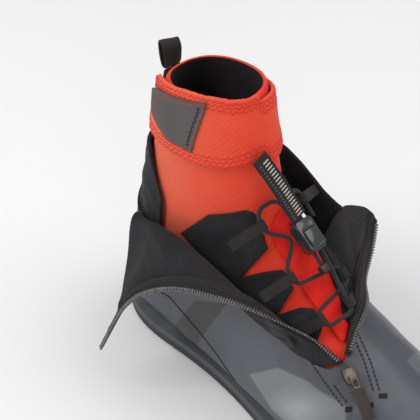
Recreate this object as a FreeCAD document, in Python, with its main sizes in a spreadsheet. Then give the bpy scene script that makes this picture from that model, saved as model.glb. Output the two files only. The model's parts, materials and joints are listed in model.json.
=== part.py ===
import FreeCAD, Part
import math
import os
from FreeCAD import Matrix, Placement, Rotation, Vector

os.makedirs("parts", exist_ok=True)
doc = FreeCAD.newDocument("CrossCountryBoot")

# Right-foot cross country ski boot, opened for stepping in.
# Frame: origin on the ground under the centre of the heel tread, +X to the toe,
# +Y to the inner (medial) side, +Z up, millimetres.

# ---------------------------------------------------------------- driving sizes
SIZES = {
    "sole_heel_x": (-35.0, "back end of the sole"),
    "sole_toe_x": (261.0, "front end of the sole"),
    "tread_depth": (3.5, "ground to underside of the outsole"),
    "outsole_top": (14.0, "ground to the lasting line"),
    "groove_width": (6.5, "binding guide groove"),
    "groove_offset": (12.0, "groove centre from the long axis"),
    "groove_back_x": (98.0, "back end of the forefoot tread"),
    "groove_front_x": (232.0, "front end of the forefoot tread"),
    "toe_bar_radius": (2.0, "binding bar radius"),
    "toe_bar_length": (39.0, "binding bar length"),
    "toe_bar_x": (249.0, "binding bar axis from the heel centre"),
    "toe_bar_z": (9.0, "binding bar axis above ground"),
    "toe_bar_gap": (28.0, "free bar between the two cheeks"),
    "toe_insert_width": (39.6, "across both cheeks"),
    "shell_wall": (2.0, "outer shell thickness"),
    "stiffener_inset": (2.4, "stiffener outside face below the shell face"),
    "stiffener_wall": (1.2, "heel counter and toe puff thickness"),
    "liner_inset": (4.2, "liner outside face below the shell face"),
    "liner_wall": (3.6, "liner thickness"),
    "liner_floor_drop": (1.0, "extra gap for the lasting board"),
    "board_thick": (2.1, "lasting board"),
    "footbed_thick": (3.0, "footbed"),
    "guard_inset": (0.8, "lace guard outside face"),
    "guard_wall": (1.6, "lace guard and tongue thickness"),
    "wrap_inset": (0.2, "wrap strap outside face"),
    "wrap_wall": (2.4, "wrap strap thickness"),
    "throat_z": (82.0, "throat cut height at its front end"),
    "throat_x": (163.0, "throat cut front end"),
    "throat_slope": (0.109, "throat cut rise per mm towards the heel"),
    "throat_tilt": (0.42, "throat cut rise per mm towards the inner side"),
    "collar_wall": (2.0, "ankle gaiter thickness"),
    "flap_thick": (2.4, "folded gaiter flap thickness"),
    "tape_width": (6.0, "zip tape beyond the flap edge"),
    "tape_thick": (1.0, "zip tape thickness"),
    "zip_tooth_radius": (1.6, "zip coil radius"),
    "lace_radius": (1.3, "lace radius"),
    "lace_turn": (4.6, "lace turn radius"),
    "webbing_width": (5.0, "lace loop webbing width"),
    "webbing_thick": (0.9, "lace loop webbing thickness"),
    "webbing_eye": (1.9, "lace loop inside radius"),
    "lock_width": (12.4, "lace lock across"),
    "lock_length": (20.0, "lace lock along the lace"),
    "lock_height": (8.4, "lace lock thickness"),
    "lock_strand": (2.8, "lace strand offset inside the lock"),
    "button_width": (8.0, "lock button across"),
    "button_length": (10.0, "lock button along the lace"),
    "ribbon_width": (11.0, "pull ribbon width"),
    "ribbon_length": (46.0, "pull ribbon length"),
    "ribbon_thick": (1.8, "doubled ribbon thickness"),
    "loop_width": (12.0, "heel pull loop webbing width"),
    "loop_thick": (1.4, "heel pull loop webbing thickness"),
    "loop_rise": (18.0, "heel pull loop height above its seam"),
}
sheet = doc.addObject("Spreadsheet::Sheet", "Sizes")
for row, (alias, (value, note)) in enumerate(SIZES.items(), start=1):
    sheet.set("A%d" % row, note)
    sheet.set("B%d" % row, str(value))
    sheet.setAlias("B%d" % row, alias)
doc.recompute()


def size(alias):
    return float(sheet.get(alias))


# ---------------------------------------------------------------- document helpers
exported = []


def keep(obj, name):
    """Name an object as a finished sub-part."""
    obj.Label = name
    exported.append(obj)
    return obj


def feature(name, shape):
    """Finished sub-part holding a computed shape."""
    obj = doc.addObject("Part::Feature", name)
    obj.Shape = shape
    return keep(obj, name)


def origin_plane(body, role):
    return [o for o in body.Origin.OriginFeatures if o.Role == role][0]


def sketch_on(body, name, role, loops, smooth=False):
    """Closed outlines on one of the body's own planes; smooth ones are periodic splines."""
    sketch = body.newObject("Sketcher::SketchObject", name)
    sketch.AttachmentSupport = [(origin_plane(body, role), "")]
    sketch.MapMode = "FlatFace"
    for loop in loops:
        points = [Vector(u, v, 0) for u, v in loop]
        if smooth:
            curve = Part.BSplineCurve()
            curve.interpolate(points, PeriodicFlag=True)
            sketch.addGeometry(curve, False)
        else:
            for a, b in zip(points, points[1:] + points[:1]):
                sketch.addGeometry(Part.LineSegment(a, b), False)
    return sketch


def padded(name, role, loop, length, smooth=False, both_ways=False):
    """Body with one padded outline; length is an expression on the sheet."""
    body = doc.addObject("PartDesign::Body", name)
    sketch = sketch_on(body, name + "_outline", role, [loop], smooth)
    pad = body.newObject("PartDesign::Pad", name + "_pad")
    pad.Profile = sketch
    pad.Midplane = both_ways
    pad.setExpression("Length", length)
    doc.recompute()
    return body


def pocketed(body, name, role, loop, length, offset=0.0, through=False, both_ways=False):
    sketch = sketch_on(body, name + "_outline", role, [loop])
    sketch.AttachmentOffset = Placement(Vector(0, 0, offset), Rotation())
    doc.recompute()
    before = body.Shape.Volume
    pocket = body.newObject("PartDesign::Pocket", name)
    pocket.Profile = sketch
    pocket.Midplane = both_ways
    if through:
        pocket.Type = "ThroughAll"
    else:
        pocket.setExpression("Length", length)
    doc.recompute()
    if body.Shape.Volume >= before - 0.5:
        pocket.Reversed = True
        doc.recompute()
    if body.Shape.Volume >= before - 0.5:
        raise RuntimeError(name + " removed nothing")
    return pocket


def box_at(name, corner, length, width, height):
    """Primitive box; each size is a number or an expression on the sheet."""
    box = doc.addObject("Part::Box", name)
    for prop, amount in (("Length", length), ("Width", width), ("Height", height)):
        if isinstance(amount, str):
            box.setExpression(prop, amount)
        else:
            setattr(box, prop, amount)
    box.Placement = Placement(Vector(*corner), Rotation())
    return box


def joined(kind, name, base, tool):
    obj = doc.addObject("Part::" + kind, name)
    obj.Base = base
    obj.Tool = tool
    doc.recompute()
    return obj


def rect(x0, y0, x1, y1):
    return [(x0, y0), (x1, y0), (x1, y1), (x0, y1)]


def prism(points, axis, low, high):
    """Straight prism of a flat outline: axis "y" takes (x, z) points, "z" takes (x, y)."""
    if axis == "y":
        corners = [Vector(p[0], low, p[1]) for p in points]
        run = Vector(0, high - low, 0)
    else:
        corners = [Vector(p[0], p[1], low) for p in points]
        run = Vector(0, 0, high - low)
    return Part.Face(Part.makePolygon(corners + corners[:1])).extrude(run)


# ---------------------------------------------------------------- sole outline
def sole_outline(inset):
    """Plan outline of the sole, drawn in by an even amount."""
    heel, toe = size("sole_heel_x"), size("sole_toe_x")
    length = toe - heel
    # position along the sole as a share of its length, then distance to each side
    lateral = [(0.024, 22), (0.101, 33), (0.220, 33.5), (0.338, 33.5), (0.456, 38), (0.591, 45),
               (0.693, 46), (0.794, 41), (0.895, 29.5), (0.97, 14)]
    medial = [(0.97, 22), (0.895, 37), (0.794, 43), (0.676, 46), (0.557, 43), (0.439, 35.5),
              (0.321, 32), (0.220, 33), (0.101, 32), (0.024, 21)]
    middle = (heel + toe) / 2

    def place(share, side):
        x = heel + share * length
        return middle + (x - middle) * (1 - 2 * inset / length), side * (1 - inset / 41.0)

    loop = [place(0, 0)]
    loop += [place(share, -side) for share, side in lateral]
    loop += [place(1, 3)]
    loop += [place(share, side) for share, side in medial]
    return loop


SOLE_UNDER = [(200.0, 0.0), (236.0, 1.4), (252.0, 3.4), (262.5, 9.5)]      # toe spring of the underside
SOLE_OVER = [(190.0, 0.0), (212.0, 0.3), (236.0, 1.8), (251.0, 4.6), (262.5, 8.4)]


def under_line(level):
    return [(x, level + rise) for x, rise in SOLE_UNDER]


heel_end = size("sole_heel_x") - 2.0
depth, top = size("tread_depth"), size("outsole_top")

# ---------------------------------------------------------------- outsole and treads
sole_plan = padded("sole_plan", "XY_Plane", sole_outline(0.0), "Sizes.outsole_top * 2", smooth=True)
sole_side_loop = [(heel_end, depth + 2.0), (heel_end + 6.0, depth)] + under_line(depth)
sole_side_loop += [(x, top + rise) for x, rise in reversed(SOLE_OVER)] + [(heel_end, top)]
sole_side = padded("sole_side", "XZ_Plane", sole_side_loop, "120", both_ways=True)
sole_blank = joined("Common", "sole_blank", sole_plan, sole_side)
toe_notch = box_at("toe_notch", (238.0, -20.0, 0.0), 30.0, 40.0, "Sizes.outsole_top")
outsole = keep(joined("Cut", "outsole", sole_blank, toe_notch), "outsole")

heel_tread = padded("heel_tread", "XY_Plane",
                    [(-32, 0), (-25, -21), (-4, -30), (30, -30), (60, -29), (70, -24), (71, 0),
                     (70, 24), (60, 28.5), (30, 29.5), (-4, 29), (-25, 20)],
                    "Sizes.tread_depth", smooth=True)
groove = pocketed(heel_tread, "heel_tread_groove", "XY_Plane", rect(-20, -45, -17, 45),
                  "Sizes.tread_depth * 0.6")
groove_rows = heel_tread.newObject("PartDesign::LinearPattern", "heel_tread_rows")
groove_rows.Originals = [groove]
groove_rows.Direction = ([o for o in heel_tread.Origin.OriginFeatures if o.Role == "X_Axis"][0], [""])
groove_rows.Length = 72.0
groove_rows.Occurrences = 7
heel_tread.Tip = groove_rows
doc.recompute()
keep(heel_tread, "heel_tread")

tread_loop = [(size("groove_back_x"), 0.0)] + under_line(0.0) + under_line(depth)[::-1]
tread_loop += [(size("groove_back_x"), depth)]
groove_in = size("groove_offset") - size("groove_width") / 2
groove_out = size("groove_offset") + size("groove_width") / 2
back, front = size("groove_back_x"), size("groove_front_x")
TREADS = {
    "forefoot_tread_lateral": [(back, -groove_out), (back, -33), (140, -41), (170, -42), (198, -38),
                               (218, -31), (front, -22), (front, -groove_out)],
    "forefoot_tread_centre": [(back, -groove_in), (back, groove_in), (front, groove_in),
                              (front, -groove_in)],
    "forefoot_tread_medial": [(back, groove_out), (front, groove_out), (front, 28), (218, 36),
                              (198, 40), (165, 42), (130, 39), (back, 32)],
}
for name, loop in TREADS.items():
    plan = padded(name + "_plan", "XY_Plane", loop, "Sizes.outsole_top")
    side = padded(name + "_side", "XZ_Plane", tread_loop, "120", both_ways=True)
    keep(joined("Common", name, plan, side), name)

# ---------------------------------------------------------------- binding bar in its toe insert
bar_x, bar_z = size("toe_bar_x"), size("toe_bar_z")
half_insert = size("toe_insert_width") / 2
insert_block = box_at("insert_block", (bar_x - 9.0, -half_insert, bar_z - 4.2), 17.0,
                      "Sizes.toe_insert_width", "Sizes.outsole_top - Sizes.toe_bar_z + 4.0")
insert_slot = box_at("insert_slot", (bar_x - 9.5, -size("toe_bar_gap") / 2, bar_z - 5.0), 20.0,
                     "Sizes.toe_bar_gap", 8.0)
insert_open = joined("Cut", "insert_open", insert_block, insert_slot)
bar_bore = doc.addObject("Part::Cylinder", "bar_bore")
bar_bore.setExpression("Radius", "Sizes.toe_bar_radius + 0.05")
bar_bore.setExpression("Height", "Sizes.toe_insert_width + 2")
across = Rotation(Vector(1, 0, 0), -90)
bar_bore.Placement = Placement(Vector(bar_x, -half_insert - 1.0, bar_z), across)
keep(joined("Cut", "toe_insert", insert_open, bar_bore), "toe_insert")
toe_bar = doc.addObject("Part::Cylinder", "toe_bar")
toe_bar.setExpression("Radius", "Sizes.toe_bar_radius")
toe_bar.setExpression("Height", "Sizes.toe_bar_length")
toe_bar.Placement = Placement(Vector(bar_x, -size("toe_bar_length") / 2, bar_z), across)
keep(toe_bar, "toe_bar")


# ---------------------------------------------------------------- boot surface
def eased(values, position):
    """Smooth value at a fractional list position that never overshoots its neighbours."""
    k = min(int(position), len(values) - 2)
    mix = position - k
    gaps = [b - a for a, b in zip(values, values[1:])]

    def slope(i):
        if i == 0 or i == len(gaps):
            return gaps[min(i, len(gaps) - 1)]
        before, after = gaps[i - 1], gaps[i]
        return 0.0 if before * after <= 0 else 2 * before * after / (before + after)

    a, b, sa, sb = values[k], values[k + 1], slope(k), slope(k + 1)
    return (a * (2 * mix ** 3 - 3 * mix ** 2 + 1) + sa * (mix ** 3 - 2 * mix ** 2 + mix)
            + b * (3 * mix ** 2 - 2 * mix ** 3) + sb * (mix ** 3 - mix ** 2))


SHARES = [0.0, 0.0, 0.0, 0.03, 0.15, 0.4, 0.62, 0.8, 0.93, 1.0]
FOOT_WIDTHS = [0.0, 0.35, 0.7, 0.93, 1.0, 0.98, 0.88, 0.72, 0.44, 0.0]
SIDE_STEPS = 16              # control points on each side of a section


class Station:
    """One fan section of the boot: a back/bottom point, a front/top point and half widths."""

    def __init__(self, back, front, lateral, medial, roundness, floor):
        self.back, self.front = back, front
        self.lateral, self.medial = lateral, medial
        self.roundness, self.floor = roundness, floor

    def profile(self, turn):
        """(share of the way up, share of the half width) for a turn of 0..1 from bottom to top."""
        position = turn * (len(SHARES) - 1)
        oval_share = 0.5 - 0.5 * math.cos(math.pi * turn)
        oval_width = max(0.0, 1 - abs(2 * oval_share - 1) ** 2.3) ** (1 / 2.3)
        mix = self.roundness
        return (eased(SHARES, position) * (1 - mix) + oval_share * mix,
                eased(FOOT_WIDTHS, position) * (1 - mix) + oval_width * mix)

    def point(self, turn, side, inset, floor_drop=0.0):
        """Point on the lateral (-1) or medial (+1) side, drawn in by an even amount."""
        share, width = self.profile(turn)
        dx, dz = self.front[0] - self.back[0], self.front[1] - self.back[1]
        length = math.hypot(dx, dz)
        start = inset + floor_drop * self.floor
        run = start + share * (length - start - inset)
        half = (self.lateral if side < 0 else self.medial) - inset
        toe_pull = inset * max(0.0, (self.back[0] - 205.0) / 54.5)
        return Vector(self.back[0] - toe_pull + dx * run / length, side * half * width,
                      self.back[1] + dz * run / length)

    def ring(self, inset, floor_drop=0.0):
        turns = [k / SIDE_STEPS for k in range(SIDE_STEPS + 1)]
        down = [self.point(t, 1, inset, floor_drop) for t in turns[-2:0:-1]]
        return [self.point(t, -1, inset, floor_drop) for t in turns] + down


# heel-to-toe foot sections, then ankle sections fanning up to the cuff rim
STATIONS = [
    Station((259.5, 22.6), (259.5, 34), 12, 18, 0.3, 1.0),
    Station((251.0, 19.4), (251.0, 45), 22, 28, 0.2, 1.0),
    Station((236.0, 16.6), (236.0, 56), 33, 36, 0.1, 1.0),
    Station((211.0, 15.0), (211.5, 65), 41, 42, 0.0, 1.0),
    Station((180.0, 14.7), (184.0, 74), 45, 45, 0.0, 1.0),
    Station((150.0, 14.7), (157.0, 86), 45, 44, 0.0, 1.0),
    Station((120.0, 14.7), (131.0, 101), 41, 40, 0.0, 1.0),
    Station((85.0, 14.7), (110.0, 117), 37, 36, 0.0, 1.0),
    Station((45.0, 14.7), (96.0, 133), 34, 34, 0.0, 1.0),
    Station((-18.0, 14.7), (88.0, 143), 33, 33, 0.15, 1.0),
    Station((-33.0, 24.0), (84.0, 150), 33, 33, 0.45, 0.3),
    Station((-35.0, 50.0), (80.0, 158), 33, 33, 0.75, 0.0),
    Station((-29.0, 85.0), (76.0, 167), 32, 32, 1.0, 0.0),
    Station((-23.0, 115.0), (72.0, 178), 31, 31, 1.0, 0.0),
    Station((-17.0, 148.0), (68.5, 190), 31, 30, 1.0, 0.0),
    Station((-11.0, 178.0), (65.5, 200), 29.5, 29.5, 1.0, 0.0),
    Station((-8.0, 197.5), (63.0, 209), 27, 29.5, 1.0, 0.0),
    Station((-7.0, 212.0), (62.5, 224), 27, 29.5, 1.0, 0.0),
]
RIM = len(STATIONS) - 2
STEPS = 3                    # rings per gap between stations


def station_at(position):
    """Section at any fractional place along the station list."""
    at = [eased([getter(s) for s in STATIONS], position) for getter in (
        lambda s: s.back[0], lambda s: s.back[1], lambda s: s.front[0], lambda s: s.front[1],
        lambda s: s.lateral, lambda s: s.medial, lambda s: s.roundness, lambda s: s.floor)]
    return Station((at[0], at[1]), (at[2], at[3]), *at[4:])


def surface_solid(inset, first=0, last=None, floor_drop=0.0):
    """Solid bounded by the boot surface drawn in by an even amount."""
    last = len(STATIONS) - 1 if last is None else last
    rows = [station_at(first + k / STEPS).ring(inset, floor_drop)
            for k in range((last - first) * STEPS + 1)]
    spans = len(rows) - 3
    surface = Part.BSplineSurface()
    surface.buildFromPolesMultsKnots(
        rows, [4] + [1] * (spans - 1) + [4], [1] * (len(rows[0]) + 1),
        list(range(spans + 1)), list(range(len(rows[0]) + 1)), False, True, 3, 3)
    wall = surface.toShape()
    caps = [Part.Face(Part.Wire(surface.uIso(u).toShape())) for u in wall.ParameterRange[:2]]
    shell = Part.makeShell([wall] + caps)
    shell.sewShape()
    solid = Part.Solid(shell)
    if solid.Volume < 0:
        solid.reverse()
    return solid


def layer(outer, inner, first=0, last=None):
    return surface_solid(outer, first, last).cut(surface_solid(inner, first, last))


def throat_height(x, y):
    return (size("throat_z") + (size("throat_x") - x) * size("throat_slope")
            + (y + 18.0) * size("throat_tilt"))


def throat_cutter(gap):
    """Everything above the sloping throat plane, moved up by a gap."""
    corners = [(-80.0, -90.0), (300.0, -90.0), (300.0, 90.0), (-80.0, 90.0)]
    low = [Vector(x, y, throat_height(x, y) + gap) for x, y in corners]
    return Part.Face(Part.makePolygon(low + low[:1])).extrude(Vector(0, 0, 250))


# ---------------------------------------------------------------- shell, stiffeners, liner
ANKLE = 15
shell_skin = layer(0.0, size("shell_wall"), 0, ANKLE)
shell_lower = feature("shell_lower", shell_skin.cut(throat_cutter(0.0)))

stiff_in = size("stiffener_inset") + size("stiffener_wall")
stiffener = layer(size("stiffener_inset"), stiff_in, 0, 13)
heel_zone = prism([(-45, 21), (18, 21), (4, 48), (-22, 74), (-45, 74)], "y", -60, 60)
toe_zone = prism([(214, 23), (275, 23), (275, 90), (222, 90)], "y", -60, 60)
feature("heel_counter", stiffener.common(heel_zone))
feature("toe_puff", stiffener.common(toe_zone))

drop = size("liner_floor_drop")
liner_outer = surface_solid(size("liner_inset"), 0, RIM, drop)
liner_inner = surface_solid(size("liner_inset") + size("liner_wall"), 0, None, drop)
feature("liner", liner_outer.cut(liner_inner))


def floor_slab(name, outline_inset, shift, inset, drop, thickness):
    """Flat-edged slab of even thickness lying on the floor of the boot."""
    plan = padded(name + "_plan", "XY_Plane", sole_outline(outline_inset), "60", smooth=True)
    plan.Placement = Placement(Vector(shift, 0, 0), Rotation())
    slab = surface_solid(inset, 0, 12, drop).cut(surface_solid(inset - 0.2, 0, 13, drop + 0.2 + thickness))
    return feature(name, plan.Shape.common(slab))


floor_slab("lasting_board", 14.0, -2.0, size("shell_wall") + 0.3, 0.0, size("board_thick"))
floor_slab("footbed", 17.0, -4.0, size("liner_inset") + size("liner_wall") + 0.3, drop, size("footbed_thick"))

# ---------------------------------------------------------------- ankle gaiter collar
collar_skin = layer(0.0, size("collar_wall"), 6, 15)
collar_lateral = prism([(-50, 60), (14, 60), (14, 124), (-1, 153), (-50, 149)], "y", -60, 0)
collar_medial = prism([(-50, 60), (93, 60), (93, 134), (52, 149), (8, 153), (-50, 149)], "y", 0, 60)
collar = collar_skin.common(collar_lateral.fuse(collar_medial)).common(throat_cutter(0.6))
feature("shell_collar", collar)

# ---------------------------------------------------------------- lace guards and tongue
guard_skin = layer(size("guard_inset"), size("guard_inset") + size("guard_wall"), 3, 14)


def finger_outline(side, inner, outer, tips):
    """Scalloped guard edge: rounded fingers reaching towards the middle at each tip."""
    loop = []
    for x, half in tips:
        for step in range(7):
            turn = math.pi * step / 6
            loop.append((x + half * math.cos(turn), side * (outer - (outer - inner) * math.sin(turn))))
    return loop


lateral_fingers = finger_outline(-1, 12.0, 23.0, [(131, 9), (108, 9), (85, 8)])
lateral_band = [(142, -23)] + lateral_fingers + [(76, -21), (66, -24), (30, -24), (30, -42), (142, -42)]
lateral_limit = [(25, 60), (25, 108), (41, 125), (57, 138), (70, 147), (84, 150), (170, 150), (170, 60)]
medial_edge = [(146, -1), (137, -1), (128, 5), (118, 9), (104, 12), (84, 12)]
medial_band = medial_edge + [(80, 18), (96, 36), (146, 36)]
above_throat = throat_cutter(0.8)
collar_gap = prism([(-50, 60), (93.6, 60), (93.6, 134.6), (52, 149.8), (-50, 154)], "y", 0, 60)
guard_region = guard_skin.common(above_throat).cut(collar_gap)
lateral_zone = prism(lateral_band, "z", 60, 150).common(prism(lateral_limit, "y", -60, 0))
feature("lace_guard_lateral", guard_region.common(lateral_zone))
feature("lace_guard_medial", guard_region.common(prism(medial_band, "z", 60, 150)))
tongue_band = [(150, -11.3), (84, -11.3)] + [(x, y - 0.6) for x, y in medial_edge[::-1]] + [(150, -1.6)]
feature("tongue", guard_region.common(prism(tongue_band, "z", 60, 150)))

# ---------------------------------------------------------------- cuff wrap strap
wrap_lateral = [(2, 196), (11, 207), (30, 213), (49, 216), (62, 214), (90, 212), (90, 184), (70, 177),
                (58, 171), (40, 168), (21, 167), (5, 165), (0, 178)]
wrap_medial = [(90, 210), (62, 209), (50, 204), (41, 201), (38, 180), (44, 172), (90, 172)]


def wrap_zone(low, high):
    lateral = prism(wrap_lateral, "y", low, 0)
    medial = prism(wrap_medial, "y", 0, high)
    return lateral.fuse(medial)


strap = layer(size("wrap_inset"), size("wrap_inset") + size("wrap_wall"), 12).common(wrap_zone(-60, 60))
feature("wrap_strap", strap)
label_outline = [(5, 196), (12, 202), (46, 212), (40, 177), (23, 175), (8, 184)]
feature("wrap_label", layer(-1.3, 0.1, 12).common(prism(label_outline, "y", -60, 0)))
patch_outline = [(10, 178), (34, 178), (38, 200), (14, 194)]
feature("wrap_hook_patch", layer(2.7, 3.3, 12).common(prism(patch_outline, "y", -60, 0)))
pad_outline = [(8, 174), (40, 174), (44, 204), (12, 196)]
feature("liner_loop_patch", layer(3.6, 4.1, 12).common(prism(pad_outline, "y", -60, 0)))

# ---------------------------------------------------------------- heel pull loop
loop_t = size("loop_thick")
base_loop = [(-13.4, 172), (-11.9, 172), (-7.5, 195.2), (-9.0, 195.2)]
pull_base = padded("pull_loop_base", "XZ_Plane", base_loop, "Sizes.loop_width", both_ways=True)
keep(pull_base, "pull_loop_base")


def arch(radius, foot_z, top_z, centre_x):
    arc = [(centre_x + radius * math.cos(math.pi * k / 10), top_z - radius + radius * math.sin(math.pi * k / 10))
           for k in range(11)]
    return [(centre_x + radius * 0.35, foot_z)] + arc + [(centre_x - radius * 0.35, foot_z)]


loop_top = 196.0 + size("loop_rise")
pull_loop = padded("heel_pull_loop", "XZ_Plane", arch(6.5, 196.0, loop_top, -9.0), "Sizes.loop_width",
                   both_ways=True)
pocketed(pull_loop, "heel_pull_eye", "XZ_Plane", arch(6.5 - loop_t, 196.0 + loop_t, loop_top - loop_t, -9.0),
         "60", both_ways=True, through=False)
keep(pull_loop, "heel_pull_loop")

# ---------------------------------------------------------------- instep frame for the lacing
INSTEP_ANGLE = math.radians(37.7)
along = Vector(-math.cos(INSTEP_ANGLE), 0, math.sin(INSTEP_ANGLE))
outward = Vector(math.sin(INSTEP_ANGLE), 0, math.cos(INSTEP_ANGLE))
INSTEP_LEVEL = 160.0
instep_origin = outward * INSTEP_LEVEL
instep = Placement(Matrix(0, along.x, outward.x, instep_origin.x,
                          1, along.y, outward.y, instep_origin.y,
                          0, along.z, outward.z, instep_origin.z,
                          0, 0, 0, 1))


def on_instep(local=None):
    return instep.multiply(local) if local else instep


LOOPS = {                     # side, along the instep, height of the lace in the loop
    "lateral_lace_loop_1": (-17.0, 20.0, 3.4),
    "lateral_lace_loop_2": (-18.0, -14.0, 1.4),
    "lateral_lace_loop_3": (-17.0, -44.0, 2.4),
    "medial_lace_loop_1": (15.0, 20.0, 6.5),
    "medial_lace_loop_2": (11.0, -29.0, 5.6),
    "medial_lace_loop_3": (1.5, -44.0, 8.2),
}
eye, web = size("webbing_eye"), size("webbing_thick")
for name, (side_x, run_y, height) in LOOPS.items():
    body = doc.addObject("PartDesign::Body", name)
    outer_r, leg = eye + web, 8.0
    curve = []
    for k in range(9):
        turn = -math.pi / 2 + math.pi * k / 8
        curve.append((outer_r * math.cos(turn), outer_r * math.sin(turn)))
    inner = [(u * eye / outer_r, v * eye / outer_r) for u, v in curve]
    strip = [(-leg, -outer_r)] + curve + [(-leg, outer_r), (-leg, eye)] + inner[::-1] + [(-leg, -eye)]
    sketch = sketch_on(body, name + "_outline", "XZ_Plane", [strip])
    pad = body.newObject("PartDesign::Pad", name + "_pad")
    pad.Profile = sketch
    pad.Midplane = True
    pad.setExpression("Length", "Sizes.webbing_width")
    doc.recompute()
    turn = Rotation(Vector(0, 1, 0), -35)
    if side_x > 0:
        turn = Rotation(Vector(0, 0, 1), 180).multiply(turn)
    body.Placement = on_instep(Placement(Vector(side_x, run_y, height), turn))
    keep(body, name)


# ---------------------------------------------------------------- lace
def corded(bends, radius):
    """Round cord along straight runs joined by tangent arcs; bends are (corner, arc radius)."""
    corners = [corner for corner, _ in bends]
    edges, start = [], corners[0]
    for before, (corner, turn), after in zip(corners, bends[1:], corners[2:]):
        into = (corner - before).normalize()
        out = (after - corner).normalize()
        angle = into.getAngle(out)
        cut = turn * math.tan(angle / 2)
        first, last = corner - into * cut, corner + out * cut
        centre = corner + (out - into).normalize() * (turn / math.cos(angle / 2))
        middle = centre + (corner - centre).normalize() * turn
        edges.append(Part.LineSegment(start, first).toShape())
        edges.append(Part.Arc(first, middle, last).toShape())
        start = last
    edges.append(Part.LineSegment(start, corners[-1]).toShape())
    path = Part.Wire(edges)
    section = Part.Wire(Part.makeCircle(radius, corners[0], corners[1] - corners[0]))
    return path.makePipeShell([section], True, False), path.Length


turn = size("lace_turn")
strand, strand_z = size("lock_strand"), 11.4
tail_y, crown_y = -17.0, 29.0


def through(name, upward=False):
    """The two lace bends either side of a webbing loop, in the order they are met."""
    x, y, z = LOOPS[name]
    pair = [(Vector(x, y + 5.3, z), turn), (Vector(x, y - 5.3, z), turn)]
    return pair[::-1] if upward else pair


bends = [(Vector(-strand, tail_y, strand_z), 0), (Vector(-strand, crown_y, strand_z), 6.5),
         (Vector(-17.0, crown_y, 4.6), 6.5), (Vector(-17.0, 15.3, 3.4), turn)]
bends += [(Vector(-5.0, 4.5, 5.2), turn)]
for name in ("lateral_lace_loop_2", "medial_lace_loop_2", "lateral_lace_loop_3"):
    bends += through(name)
bends += through("medial_lace_loop_3", upward=True)
bends += [(Vector(strand, -13.0, strand_z), 20.0), (Vector(strand, crown_y - 2, strand_z), 5.5),
          (Vector(15.0, crown_y - 2, 7.0), 5.5), (Vector(15.0, 8.0, 5.7), 0)]
cord, cord_length = corded(bends, size("lace_radius"))
lace = feature("lace", cord)
lace.Placement = on_instep()
expected = math.pi * size("lace_radius") ** 2 * cord_length
print("lace length %.1f volume %.1f expected %.1f" % (cord_length, cord.Volume, expected))

end_clip = padded("lace_end_clip", "XY_Plane", rect(-5.4, tail_y - 5.0, -0.2, tail_y - 0.1), "4.6")
end_clip.Placement = on_instep(Placement(Vector(0, 0, strand_z - 2.3), Rotation()))
keep(end_clip, "lace_end_clip")

# ---------------------------------------------------------------- lace lock, button and ribbon
half_w, lock_y0 = size("lock_width") / 2, -9.0
lock_y1, lock_z0 = lock_y0 + size("lock_length"), 7.6
nose = 2.4
lock_body = padded("lace_lock_body", "XY_Plane",
                   [(-half_w + nose, lock_y0), (half_w - nose, lock_y0), (half_w, lock_y0 + nose),
                    (half_w, lock_y1 - 1.5), (half_w - 1.5, lock_y1), (-half_w + 1.5, lock_y1),
                    (-half_w, lock_y1 - 1.5), (-half_w, lock_y0 + nose)], "Sizes.lock_height")
button_w, button_l = size("button_width"), size("button_length")
button_y0 = lock_y0 + 3.4
pocketed(lock_body, "button_well", "XY_Plane",
         rect(-button_w / 2 - 0.4, button_y0 - 0.4, button_w / 2 + 0.4, button_y0 + button_l + 0.4),
         "2.8", offset=size("lock_height"))
bore = body_sketch = lock_body.newObject("Sketcher::SketchObject", "lace_bores")
bore.AttachmentSupport = [(origin_plane(lock_body, "XZ_Plane"), "")]
bore.MapMode = "FlatFace"
bore_r = size("lace_radius") + 0.4
for x in (-strand, strand):
    bore.addGeometry(Part.Circle(Vector(x, strand_z - lock_z0, 0), Vector(0, 0, 1), bore_r), False)
doc.recompute()
solid_before = lock_body.Shape.Volume
bores = lock_body.newObject("PartDesign::Pocket", "lace_bore_cut")
bores.Profile = bore
bores.Midplane = True
bores.setExpression("Length", "Sizes.lock_length * 4")
doc.recompute()
print("lock bores removed", solid_before - lock_body.Shape.Volume)
lock_body.Placement = on_instep(Placement(Vector(0, 0, lock_z0), Rotation()))
keep(lock_body, "lace_lock_body")

button = padded("lace_lock_button", "XY_Plane",
                rect(-button_w / 2, button_y0, button_w / 2, button_y0 + button_l), "2.3")
button.Placement = on_instep(Placement(Vector(0, 0, lock_z0 + size("lock_height") - 1.1), Rotation()))
keep(button, "lace_lock_button")

ribbon = padded("lace_pull_ribbon", "XY_Plane",
                rect(-size("ribbon_width") / 2, 1.0, size("ribbon_width") / 2, size("ribbon_length")),
                "Sizes.ribbon_thick")
ribbon_tilt = Rotation(Vector(1, 0, 0), 22).multiply(Rotation(Vector(0, 0, 1), 15))
ribbon.Placement = on_instep(Placement(Vector(0, lock_y1 + 1.6, lock_z0 + 5.8), ribbon_tilt))
keep(ribbon, "lace_pull_ribbon")

# ---------------------------------------------------------------- throat edge and folded flaps
ROOT_INSET = {-1: -4.2, 1: -1.0}     # flap root line outside the boot surface, by side


def edge_point(position, side, gap):
    """Where the boot surface meets the throat plane at a fractional station position."""
    section = station_at(position)
    low, high = 0.3, 1.0
    for _ in range(40):
        turn = (low + high) / 2
        p = section.point(turn, side, ROOT_INSET[side])
        if p.z < throat_height(p.x, p.y):
            low = turn
        else:
            high = turn
    return p + Vector(0, 0, gap)


def smooth_net(columns, row_steps, column_steps):
    """Denser net of points eased along and then across the given columns."""
    def along(points, steps):
        spots = [k / steps * (len(points) - 1) for k in range(steps + 1)]
        return [Vector(*[eased([p[axis] for p in points], spot) for axis in range(3)]) for spot in spots]

    rows = [along(column, row_steps) for column in columns]
    lines = [along(line, column_steps) for line in zip(*rows)]
    return [list(column) for column in zip(*lines)]


def clamped(count):
    return [4] + [1] * (count - 4) + [4], list(range(count - 2))


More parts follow.
